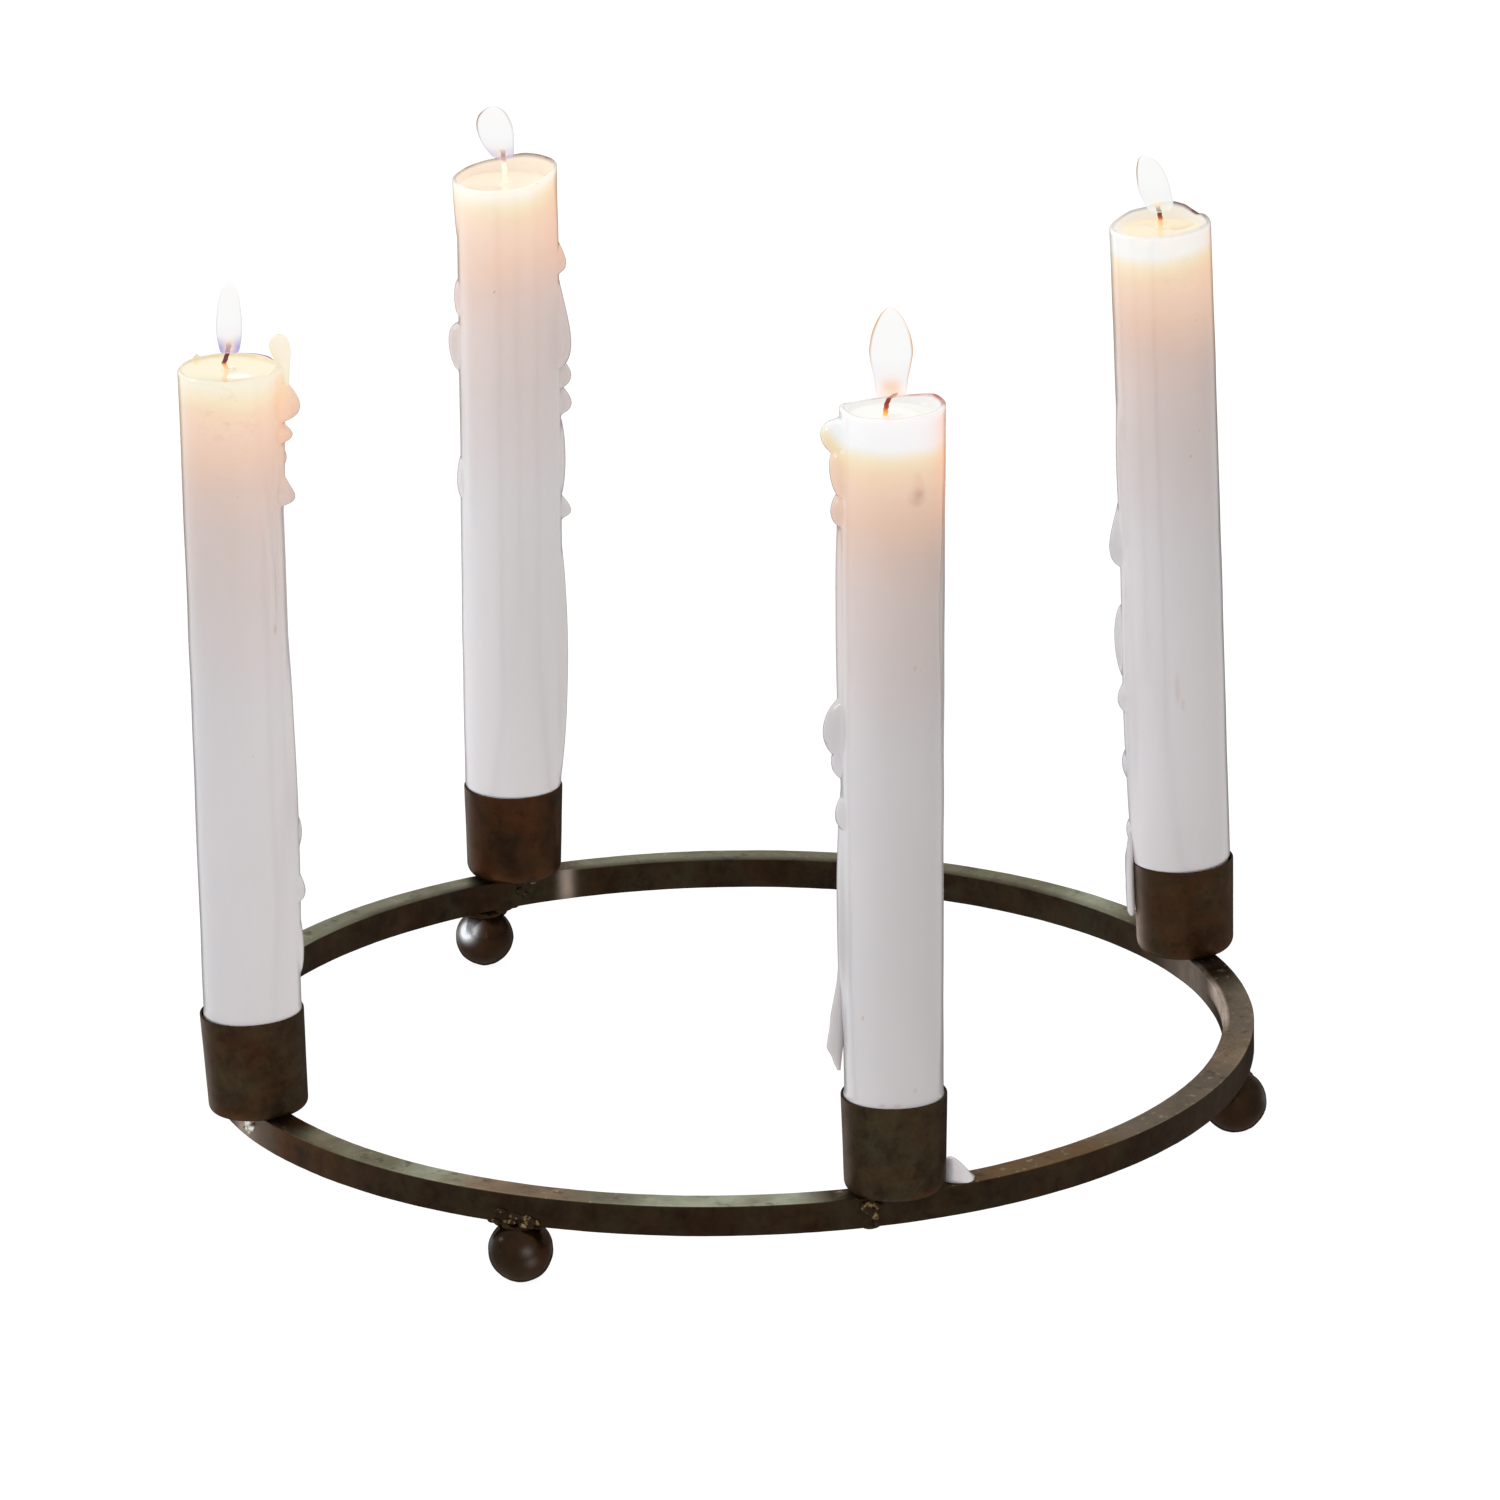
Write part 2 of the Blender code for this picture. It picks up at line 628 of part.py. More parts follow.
def make_spill(parts):
    """A drop of set wax on the bar's upper face, highest beside the cup."""
    mesh = bpy.data.meshes.new("wax_spill")
    shape = bmesh.new()
    bmesh.ops.create_uvsphere(shape, u_segments=16, v_segments=10, radius=0.5)
    for vertex in shape.verts:
        share = vertex.co.y + 0.5
        height = SPILL_HIGH_END + (SPILL_LOW_END - SPILL_HIGH_END) * share
        vertex.co.z = max(vertex.co.z, 0.0) * height
        vertex.co.x *= SPILL_WIDTH
        vertex.co.y *= SPILL_LENGTH
    shape.to_mesh(mesh)
    shape.free()
    spill = bpy.data.objects.new("wax_spill", mesh)
    spill.location = polar(BAR_CENTRE_RADIUS, SPILL_ANGLE, RING_TOP + GAP)
    spill.rotation_euler.z = math.radians(SPILL_ANGLE)
    parts.objects.link(spill)
    finish(spill, wax_surface("wax_spilt"))


def main():
    clear_scene()
    parts = new_collection(PART)
    make_ring(parts)
    for number, degrees in enumerate(FOOT_ANGLES, 1):
        make_foot(parts, number, degrees)
    for station in STATIONS:
        make_cup(parts, station)
        make_candle(parts, station)
        make_wick(parts, station)
    make_spill(parts)


main()
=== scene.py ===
"""The candle ring's looks: candles with runs of wax, flames, patinated iron and weld beads.

Lengths below are in millimetres and angles in degrees, unless a name says otherwise.
"""

import math

import bmesh
import bpy
import numpy as np
from mathutils import Matrix, Vector, noise


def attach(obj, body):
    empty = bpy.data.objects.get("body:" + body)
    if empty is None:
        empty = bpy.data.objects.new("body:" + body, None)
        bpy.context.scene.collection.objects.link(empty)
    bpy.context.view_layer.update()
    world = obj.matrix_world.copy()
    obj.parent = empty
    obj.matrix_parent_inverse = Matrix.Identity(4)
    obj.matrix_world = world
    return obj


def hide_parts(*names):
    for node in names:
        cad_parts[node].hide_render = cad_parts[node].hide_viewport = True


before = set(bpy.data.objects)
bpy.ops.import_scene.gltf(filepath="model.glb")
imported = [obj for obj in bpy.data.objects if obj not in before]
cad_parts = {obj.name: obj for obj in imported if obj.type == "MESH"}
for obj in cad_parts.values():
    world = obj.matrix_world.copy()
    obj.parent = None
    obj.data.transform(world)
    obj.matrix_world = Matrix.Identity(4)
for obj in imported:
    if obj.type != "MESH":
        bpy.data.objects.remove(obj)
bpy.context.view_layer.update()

MM = 0.001
SIDE = 40.0
RIGHT = SIDE
LEFT = SIDE + 180.0
FRONT = SIDE - 90.0
BACK = SIDE + 90.0

OUTER = 125.0
BAR = 7.4
MIDDLE = OUTER - BAR / 2
INNER = OUTER - BAR
TOP = 21.9
BOTTOM = TOP - BAR
GAP = 0.3

FEET = (30.0, 159.5, 286.6)
BALL = 7.25
BALL_CENTRE = 7.05

CUP_RIM = 12.15
CUP_BASE = 11.65
CUP_WALL = 0.5
FOOT_RADIUS = 10.35
JOINT = 324.7
SPILL = 335.5

# Each cup and its candle. Heights are above the ring's upper face. angle: where it stands. offset:
# how far outside the bar's middle. lean and cup_lean: to the photo's right. shift: how far the
# candle stands to the right of the cup's middle. low and high: its radius low down and at the top.
# bow: how far it bends to the right. rim: how much higher or lower the rim is, by angle. burnt:
# how dark the rim's outer edge is, by angle. lip: how wide the rim is. pool: how far the pool lies
# below it. dish: how deeply the pool is curved. slope: how it rises to the front and to the right.
# painted_edge_glow: how orange the right side is near the rim, a painted glow. turned: how much
# lighter
# the wax is painted on the right, near the rim and lower down: painted light and shade. pits:
# (turn from the front, depth, spread, strength). stains: (turn from the front, height, half width,
# half height, strength). wick: (height above the rim's middle, sideways offset). A drip is (side,
# turn, top, bottom, reach from the axis, width, fullness), and one at least COAT wide is a smooth
# coat.
COAT = 7.0
STATIONS = {
    1: {
        "angle": 62.1, "offset": -1.7, "cup_lean": -1.4, "lean": -1.55, "shift": -0.55,
        "cup_height": 23.1, "cup_corner": 3.0, "dish": 0.001, "slope": (0.0, 0.0),
        "painted_side_shading": (-0.02, -0.16),
        "top": 183.1, "low": 11.85, "high": 12.05, "bow": 0.2,
        "rim": (
            (20, -0.6), (40, -1.0), (66, -0.6), (76, -0.9), (82, -0.6), (88, -0.2), (97, 0.6),
            (113, 1.1), (130, 0.8), (146, -0.1), (165, -0.4), (188, -1.3), (220, -1.9),
            (246, -1.6), (275, -1.5), (310, -1.2), (340, -0.7),
        ),
        "burnt": (
            (30, 0.3), (50, 0.7), (66, 0.9), (73, 1.2), (82, 1.2), (88, 0.9), (112, 1.0),
            (125, 0.6), (165, 0.6), (215, 0.4), (235, 0.0),
        ),
        "lip": 1.0, "pool": 2.3, "pool_radius": 8.2, "painted_edge_glow": 0.5, "pits": (0, 12, 7, 0.3),
        "stains": ((0, 70.0, 0.6, 3.5, 0.25), (6, 66.0, 0.5, 1.5, 0.25)),
        "drips": (
            (LEFT, 4, 116.1, 97.7, 14.7, 5.0, 2.4), (LEFT, -6, 87.6, 69.1, 14.3, 5.4, 0.9),
            (LEFT, 10, 69.0, 61.6, 14.0, 4.6, 1.3), (LEFT, 0, 51.6, 44.1, 13.4, 5.0, 1.0),
            (LEFT, 4, 34.0, 28.5, 12.95, 4.2, 1.0),
            (LEFT, 12, 139.1, 99.1, 12.6, 8.0, 1.0), (LEFT, 8, 108.0, 23.5, 12.75, 9.0, 1.0),
            (LEFT, -32, 173.1, 71.1, 12.9, 7.0, 2.2),
        ),
        "wick": ((-2.4, 0.0), (-0.6, 0.1), (1.2, 0.0), (3.0, -0.4), (4.2, -0.75)),
    },
    2: {
        "angle": 155.4, "offset": 0.0, "cup_lean": 0.6, "lean": 0.66, "shift": 0.0,
        "cup_height": 23.1, "cup_corner": 3.0, "dish": 0.003, "slope": (0.012, 0.015),
        "painted_side_shading": (0.06, -0.04),
        "top": 180.2, "low": 11.8, "high": 12.2, "bow": 0.0,
        "rim": (
            (9, 0.1), (40, 1.0), (66, 1.3), (89, 1.2), (110, 1.0), (123, 0.5), (146, -0.5),
            (172, -1.0), (201, -1.5), (222, -2.1), (240, -3.0), (258, -3.0), (280, -2.6),
            (300, -2.3), (319, -1.9), (336, -1.4), (352, -0.7),
        ),
        "burnt": (
            (20, 0.1), (45, 0.6), (60, 0.9), (100, 1.0), (130, 0.8), (170, 0.8), (222, 0.6),
            (240, 0.0),
        ),
        "lip": 0.8, "pool": 3.4, "pool_radius": 10.8, "painted_edge_glow": 0.5, "pits": (-10, 10, 7, 0.15),
        "stains": (),
        "drips": (
            (LEFT, 5, 152.5, 144.0, 12.75, 4.6, 1.0), (LEFT, -4, 141.0, 129.5, 14.4, 5.2, 0.7),
            (LEFT, 8, 108.0, 98.0, 12.8, 4.6, 1.3),
            (RIGHT, 4, 162.2, 154.2, 13.9, 4.6, 2.0), (RIGHT, -5, 154.0, 130.6, 15.15, 6.0, 2.2),
            (RIGHT, 6, 131.8, 125.0, 15.0, 5.4, 1.2), (RIGHT, 3, 126.0, 118.4, 15.1, 5.6, 1.8),
            (RIGHT, -2, 118.0, 97.0, 13.4, 5.8, 1.0),
            (RIGHT, 4, 98.2, 91.6, 14.85, 4.6, 2.2), (RIGHT, -6, 89.0, 25.5, 13.8, 8.5, 0.95),
            (RIGHT, -10, 176.0, 30.0, 12.55, 10.0, 1.0), (LEFT, 40, 172.0, 90.0, 12.2, 7.0, 2.0),
            (LEFT, 0, 205.0, 163.0, 12.9, 9.0, 1.0), (LEFT, 10, 112.0, 26.0, 12.05, 9.0, 1.0),
        ),
        "wick": ((-3.5, -0.3), (-1.0, -0.4), (1.5, -0.6), (3.8, -0.8), (5.6, -1.2)),
    },
    3: {
        "angle": 247.0, "offset": 1.5, "cup_lean": -2.4, "lean": -0.4, "shift": -0.55,
        "cup_height": 24.1, "cup_corner": 1.8, "dish": 0.003, "slope": (0.0, 0.0),
        "painted_side_shading": (0.13, 0.14),
        "top": 180.0, "low": 11.4, "high": 11.5, "bow": 0.0,
        "rim": (
            (10, -0.4), (40, 0.1), (75, 0.4), (107, 0.3), (143, 0.1), (168, 0.1), (172, 1.2),
            (177, 0.1), (184, 0.0), (208, -0.3), (235, -0.4), (270, -0.3), (310, -0.3),
            (346, -0.4),
        ),
        "burnt": (
            (55, 0.2), (72, 1.0), (80, 1.1), (96, 0.8), (115, 0.4), (150, 0.3), (215, 0.3),
            (235, 0.0),
        ),
        "lip": 0.6, "pool": 0.4, "pool_radius": 10.6, "painted_edge_glow": 0.35, "pits": (0, 11, 9, 0.75),
        "stains": ((50, 119.5, 0.6, 1.2, 0.5),),
        "drips": (
            (RIGHT, 2, 177.6, 167.1, 16.0, 5.8, 1.8), (RIGHT, -8, 166.3, 162.2, 14.2, 4.2, 1.2),
            (RIGHT, 6, 160.5, 156.2, 12.6, 4.0, 1.3), (RIGHT, -2, 155.6, 147.4, 14.3, 5.0, 2.8),
            (RIGHT, 2, 215.0, 146.0, 12.6, 9.0, 1.0),
            (RIGHT, 0, 115.5, 33.5, 12.3, 9.0, 1.1), (RIGHT, 6, 72.0, 63.5, 13.0, 5.0, 1.0),
            (RIGHT, -4, 59.0, 51.1, 13.3, 5.2, 1.8), (RIGHT, 4, 49.0, 33.5, 12.4, 6.0, 1.5),
            (RIGHT, -45, 171.5, 118.5, 11.9, 1.7, 3.0),
        ),
        "wick": ((-1.3, -0.1), (0.1, -0.5), (1.1, -0.85), (2.2, -0.35), (4.2, 0.2), (5.9, 0.45)),
    },
    4: {
        "angle": 328.0, "offset": 0.0, "cup_lean": 0.0, "lean": 0.5, "shift": -0.1,
        "cup_height": 23.2, "cup_corner": 2.4, "dish": 0.001, "slope": (0.0, 0.0),
        "painted_side_shading": (-0.02, -0.12),
        "top": 185.6, "low": 11.35, "high": 11.95, "bow": -0.3,
        "rim": (
            (20, 0.9), (40, 1.0), (63, 1.1), (74, 1.1), (89, 0.5), (106, -0.1), (128, -0.9),
            (151, -1.1), (175, -1.1), (190, -0.7), (208, 0.2), (236, 0.3), (265, 0.2),
            (300, 0.5), (335, 0.8),
        ),
        "burnt": (
            (20, 0.1), (38, 0.9), (60, 1.0), (105, 0.8), (128, 0.5), (150, 0.4), (172, 0.15),
            (215, 0.05), (235, 0.0),
        ),
        "lip": 1.0, "pool": 1.9, "pool_radius": 9.8, "painted_edge_glow": 1.0, "pits": (-20, 24, 8, 0.2),
        "stains": (
            (27, 170.2, 1.3, 3.4, 0.22), (27, 167.8, 1.9, 2.1, 0.4), (24, 27.3, 0.4, 0.4, 0.5),
            (-15, 24.1, 0.9, 0.22, 0.6), (3, 23.9, 0.9, 0.22, 0.6), (-38, 44.3, 0.3, 0.5, 0.7),
            (62, 148.0, 0.4, 0.4, 0.7), (25, 128.0, 0.35, 0.35, 0.5),
        ),
        "drips": (
            (LEFT, 0, 183.0, 175.0, 15.6, 5.2, 0.78), (LEFT, 8, 176.5, 165.6, 13.8, 5.4, 0.7),
            (LEFT, 4, 166.0, 158.6, 13.4, 5.4, 1.3), (LEFT, 2, 117.4, 103.8, 15.3, 5.6, 1.2),
            (LEFT, -8, 107.5, 98.8, 13.5, 5.0, 1.3), (LEFT, 6, 94.5, 87.6, 12.9, 4.6, 1.3),
            (LEFT, 0, 96.0, 38.0, 12.5, 9.0, 1.0), (RIGHT, -28, 170.0, 112.0, 11.75, 1.6, 1.6),
            (FRONT, 30, 173.0, 166.9, 12.35, 3.0, 2.2),
            (LEFT, -6, 172.0, 98.0, 12.3, 9.0, 1.0),
        ),
        "wick": ((-2.0, -1.6), (-0.6, -1.5), (1.0, -1.2), (2.0, -0.7), (2.7, 0.2), (3.3, 1.0)),
    },
}

# Ribbons of wax that stand free: (name, angle, whether the width runs outward, path). A path is
# of (radius, height above the ring's upper face, half width, half thickness).
RIBBONS = {
    1: ("overflow", LEFT + 8, False, (
        (11.7, 32.0, 1.2, 0.6), (12.0, 27.5, 1.8, 0.9), (12.4, 24.6, 2.2, 1.0),
        (12.5, 21.5, 2.2, 1.0), (12.5, 17.0, 2.1, 1.0), (12.5, 13.0, 2.0, 0.95),
        (12.5, 11.0, 1.6, 0.85), (12.45, 9.9, 0.6, 0.35),
    )),
    3: ("tongue", RIGHT, True, (
        (12.6, 173.5, 0.8, 0.8), (12.9, 176.5, 0.95, 0.9), (12.75, 180.0, 1.35, 0.85),
        (12.0, 183.6, 2.35, 0.8), (11.9, 186.0, 2.15, 0.65), (12.0, 187.4, 0.9, 0.3),
    )),
    4: ("curtain", LEFT + 1, True, (
        (11.5, 64.0, 0.3, 0.9), (11.8, 56.0, 0.6, 1.2), (12.05, 50.8, 0.87, 1.2),
        (12.33, 47.6, 1.13, 1.1), (12.72, 43.2, 1.52, 1.0), (12.95, 39.3, 1.7, 0.9),
        (13.35, 36.0, 1.9, 0.8), (13.45, 34.2, 1.85, 0.75), (13.05, 32.4, 1.25, 0.65),
        (12.85, 30.6, 0.85, 0.55), (12.6, 28.9, 0.4, 0.35),
    )),
}

# Flames: (height above the rim's middle, sideways offset, half width)
FLAMES = {
    1: ((2.0, 0.2, 2.4), (3.0, 0.1, 3.2), (4.5, -0.3, 3.5), (6.5, -0.9, 3.75), (9.1, -1.4, 3.7),
        (12.0, -2.0, 3.2), (14.0, -2.6, 2.3), (15.2, -3.2, 1.2), (15.9, -3.6, 0.1)),
    2: ((3.0, -0.6, 2.2), (3.7, -1.0, 2.8), (6.5, -2.0, 3.85), (10.1, -2.7, 4.4), (12.9, -3.1, 3.8),
        (14.7, -3.05, 2.4), (15.6, -3.05, 0.9), (15.9, -3.05, 0.1)),
    3: ((3.7, 0.5, 2.1), (4.7, 0.55, 2.4), (7.3, 0.55, 2.85), (10.5, 0.65, 2.95), (13.7, 0.75, 2.7),
        (17.0, 0.9, 2.2), (18.9, 0.9, 1.5), (20.2, 0.9, 0.4)),
    4: ((2.9, -0.4, 3.1), (4.0, -0.3, 3.5), (7.0, -0.3, 3.9), (10.0, -0.3, 4.5), (13.2, -0.3, 4.9),
        (17.0, -0.3, 4.3), (20.4, -0.35, 2.9), (22.4, -0.4, 1.4), (23.4, -0.4, 0.1)),
}

# The bar's upper face: kinds of patina with a painted sheen, and where each is, by angle
PATINA_AND_SHEEN = {
    "scale": (38, 25, 13), "bloom": (124, 126, 106), "pale": (156, 162, 141),
    "rust": (134, 114, 93), "umber": (108, 98, 84), "ochre": (98, 72, 42), "olive": (110, 111, 91),
}
UPPER_FACE = (
    (4, "umber"), (20, "umber"), (26, "rust"), (34, "umber"), (46, "umber"), (53, "scale"),
    (73, "scale"), (77, "bloom"), (84, "pale"), (90, "olive"), (104, "olive"), (126, "olive"),
    (138, "bloom"), (147, "bloom"), (150, "scale"), (160, "scale"), (162, "bloom"), (190, "bloom"),
    (236, "bloom"), (240, "scale"), (254, "scale"), (258, "bloom"), (270, "olive"), (276, "pale"),
    (282, "rust"), (290, "rust"), (296, "olive"), (301, "pale"), (317, "pale"), (321, "scale"),
    (333, "scale"), (340, "ochre"), (352, "ochre"), (359, "umber"),
)

# Where along each flat side of the bar its section has a point
SIDE_STEPS = (0.06, 0.2, 0.4, 0.6, 0.8, 0.94)
# How far the ring is pulled in at the left
FLATTENED = 0.85

# Cups: how light the left edge is, a painted sheen, and how much grey-green and red there is
CUP_LOOKS = {1: (1.0, 0.4, 0.7), 2: (0.5, 0.1, 1.0), 3: (0.55, 0.6, 0.45), 4: (0.4, 0.6, 0.3)}
LIP_WIDE = 0.28
LIP_TALL = 0.4

# How much larger each ball is than its solid, and the painted highlights on it: (angle,
# elevation, strength, spread)
BALL_GROWTH = {1: 0.3, 2: -0.1, 3: 0.3}
GLEAMS = {
    1: ((RIGHT - 12, 10, 0.12, 16),),
    2: ((FRONT - 41, 28, 2.8, 16), (LEFT + 10, 10, 0.3, 18)),
    3: ((FRONT + 14, 15, 0.06, 9), (FRONT + 20, -4, 0.04, 10), (LEFT + 8, 18, 0.14, 14),
        (RIGHT - 6, 0, 0.16, 10)),
}

# Weld metal on the balls, the same on all and then on each: (step along the bar, height, size)
FOOT_WELD = ((0.0, 13.3, (8.6, 9.0, 3.2)), (0.0, 14.2, (7.2, 11.5, 1.4)))
COMMON_LUMPS = (
    (-4.0, 14.0, (6.6, 5.0, 3.0)), (-5.6, 14.0, (5.2, 5.0, 1.6)), (4.2, 14.0, (6.2, 5.0, 2.4)),
)
FOOT_LUMPS = {
    1: COMMON_LUMPS,
    2: (
        (-3.4, 14.2, (7.4, 5.6, 5.0)), (-5.2, 14.2, (6.4, 5.6, 2.6)),
        (-7.2, 14.2, (5.6, 5.6, 1.4)),
    ),
    3: COMMON_LUMPS,
}
# Beads on the bar's outer side: (turn, height, width, height of the bead)
FOOT_SPATTER = (
    (-1.35, 17.4, 3.0, 1.2), (0.3, 16.5, 3.6, 1.8), (1.5, 16.2, 3.4, 1.8), (2.5, 15.6, 2.6, 1.6),
    (1.4, 14.6, 4.0, 1.7), (-0.4, 15.0, 3.6, 1.5), (-2.0, 14.8, 2.4, 1.1),
)
JOINT_BEADS = (
    (-0.5, 19.9, 3.2, 2.8), (0.1, 18.6, 3.0, 2.6), (0.9, 19.6, 2.8, 2.4), (0.5, 17.2, 2.2, 2.4),
    (0.6, 15.9, 1.8, 2.0), (2.4, 21.3, 3.4, 0.8), (4.2, 21.4, 2.6, 0.6),
)
# The welds of the cups: where each is outside and inside the bar, and how large. Beads in each:
# (turn, distance below the bar's upper face, size)
CUP_WELDS = {1: (64.2, 69.5, 1.0), 2: (156.0, 154.6, 1.0), 3: (246.0, 244.2, 1.7)}
CUP_BEADS = ((-0.8, 1.3, 2.2), (0.1, 1.9, 3.0), (0.9, 3.2, 2.6), (0.2, 4.6, 2.2), (1.2, 1.2, 1.8))


def polar(radius, degrees, height=0.0):
    turn = math.radians(degrees)
    return Vector((radius * math.cos(turn), radius * math.sin(turn), height))


def standing_at(place, degrees):
    """A matrix that stands something at a place and turns it about the vertical."""
    return Matrix.Translation(place) @ Matrix.Rotation(math.radians(degrees), 4, "Z")


def leaning(degrees):
    """A lean to the photo's right, or to its left where it is negative."""
    return Matrix.Rotation(math.radians(degrees), 4, polar(1.0, SIDE + 90.0))


def smooth_step(x):
    x = np.clip(x, 0.0, 1.0)
    return x * x * (3 - 2 * x)


def round_table(table, degrees):
    """Values by angle, carried round the circle."""
    angles, values = zip(*table)
    return np.interp(degrees, angles, values, period=360.0)


def angle_apart(a, b):
    """Degrees from b to a, from -180 to 180."""
    return (a - b + 180.0) % 360.0 - 180.0


def hump(degrees, middle, spread, power=2):
    """1 at the middle, and down to 0 on both sides of it."""
    return np.exp(-(angle_apart(degrees, middle) / spread) ** power)


def round_turn(columns):
    """Angles once round, in radians."""
    return np.linspace(0, math.tau, columns, endpoint=False)


def by_row(values, columns):
    """A grid with one value a row."""
    return np.repeat(values, columns).reshape(-1, columns)


def round_axis(r, turn, z):
    """Points at a distance from the axis, an angle in radians and a height."""
    return np.stack(np.broadcast_arrays(r * np.cos(turn), r * np.sin(turn), z), -1)


def grain(points, scale, seed):
    """Smooth noise, from -1 to 1, at each point."""
    shift = Vector((seed, seed * 1.7, -seed))
    return np.array([noise.noise(Vector(p) / scale + shift) for p in points])


def grid_faces(rows, columns, closed=False):
    """Faces of a grid whose rows run round. closed: its last row joins its first."""
    faces = []
    for i in range(rows if closed else rows - 1):
        low, high = i * columns, ((i + 1) % rows) * columns
        for j in range(columns):
            k = (j + 1) % columns
            faces.append((low + j, low + k, high + k, high + j))
    return faces


def linked(name, data):
    """A new object in the scene."""
    obj = bpy.data.objects.new(name, data)
    bpy.context.scene.collection.objects.link(obj)
    return obj


def make_object(name, points, faces, material, layers, slot="iron", matrix=None, tint=None):
    """A smooth-shaded piece from points in millimetres, which rides on the part."""
    mesh = bpy.data.meshes.new(name)
    mesh.from_pydata((np.asarray(points, float) * MM).tolist(), [], faces)
    mesh.validate()
    mesh.shade_smooth()
    for key, values in layers.items():
        layer = mesh.attributes.new(key, "FLOAT", "POINT")
        layer.data.foreach_set("value", np.asarray(values, np.float32))
    if tint is not None:
        layer = mesh.attributes.new("tint", "FLOAT_COLOR", "POINT")
        layer.data.foreach_set("color", np.asarray(tint, np.float32).ravel())
    obj = linked(name, mesh)
    if matrix is not None:
        placed = matrix.copy()
        placed.translation = placed.translation * MM
        obj.matrix_world = placed
    mesh.materials.append(material)
    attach(obj, "root")
    return obj


def skin(name, rings, layers, **more):
    """A closed skin over rings of points, each ring the same length, with a value a point."""
    rings = [np.asarray(r, float) for r in rings]
    points = np.concatenate(rings)
    columns = len(rings[0])
    faces = grid_faces(len(rings), columns)
    first, last = len(points), len(points) + 1
    top = first - columns
    for j in range(columns):
        k = (j + 1) % columns
        faces.append((first, k, j))
        faces.append((last, top + j, top + k))
    points = np.concatenate([points, [rings[0].mean(0)], [rings[-1].mean(0)]])
    layers = {key: np.asarray(values, float).ravel() for key, values in layers.items()}
    layers = {
        key: np.concatenate([values, [values[:columns].mean(), values[-columns:].mean()]])
        for key, values in layers.items()
    }
    return make_object(name, points, faces, layers=layers, **more)


def smooth_path(table, steps):
    """Catmull-Rom curves through the rows of a table, column by column."""
    table = np.array(table, float)
    last = len(table) - 1
    t = np.linspace(0, last, steps)
    i = np.clip(np.floor(t).astype(int), 0, last - 1)
    f = (t - i)[:, None]
    p0, p1, p2, p3 = (table[np.clip(i + step, 0, last)] for step in (-1, 0, 1, 2))
    curve = 0.5 * (
        2 * p1 + (p2 - p0) * f + (2 * p0 - 5 * p1 + 4 * p2 - p3) * f ** 2
        + (3 * p1 - p0 - 3 * p2 + p3) * f ** 3
    )
    return curve.T


def strip_rings(path, angle, across):
    """Ellipses along a path of (radius, height, half width, half thickness), at an angle.

    The width runs round the axis and the thickness out from it, or the other way if across.
    """
    out = np.array(polar(1.0, angle))
    along = np.array(polar(1.0, angle + 90.0))
    turn = round_turn(20)
    rings = []
    for radius, height, half_width, half_thickness in smooth_path(path, 40).T:
        wide, thick = max(half_width, 0.06), max(half_thickness, 0.06)
        first, second = (wide, thick) if across else (thick, wide)
        rings.append(
            out * radius + np.array((0, 0, height))
            + np.outer(np.cos(turn) * first, out) + np.outer(np.sin(turn) * second, along)
        )
    return rings


def blobs(name, lumps, material, voxel=0.2, rough=0.12, seed=0.0):
    """Rounded lumps melted into one piece. A lump is (centre, size, rotation about Z)."""
    mesh = bpy.data.meshes.new(name)
    shape = bmesh.new()
    for centre, size, turn in lumps:
        place = standing_at(centre, turn) @ Matrix.Diagonal((*size, 1.0))
        bmesh.ops.create_uvsphere(shape, u_segments=24, v_segments=16, radius=0.5, matrix=place)
    for vertex in shape.verts:
        bump = noise.noise(vertex.co / 1.1 + Vector((seed, 0, 0)))
        vertex.co = vertex.co + vertex.normal * rough * bump
    shape.to_mesh(mesh)
    shape.free()
    obj = linked(name, mesh)
    remesh = obj.modifiers.new("melt", "REMESH")
    remesh.mode = "VOXEL"
    remesh.voxel_size = voxel
    smoothing = obj.modifiers.new("soften", "SMOOTH")
    smoothing.iterations = 3
    bpy.context.view_layer.update()
    melted = obj.evaluated_get(bpy.context.evaluated_depsgraph_get())
    final = bpy.data.meshes.new_from_object(melted)
    obj.modifiers.clear()
    final.transform(Matrix.Scale(MM, 4))
    final.materials.clear()
    final.materials.append(material)
    final.shade_smooth()
    obj.data = final
    final.name = name
    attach(obj, "root")


def linear(*colour):
    """A linear colour, from 0 to 255 display values."""
    values = [c / 255 for c in colour]
    values = [v / 12.92 if v <= 0.04045 else ((v + 0.055) / 1.055) ** 2.4 for v in values]
    return (*values, 1.0)


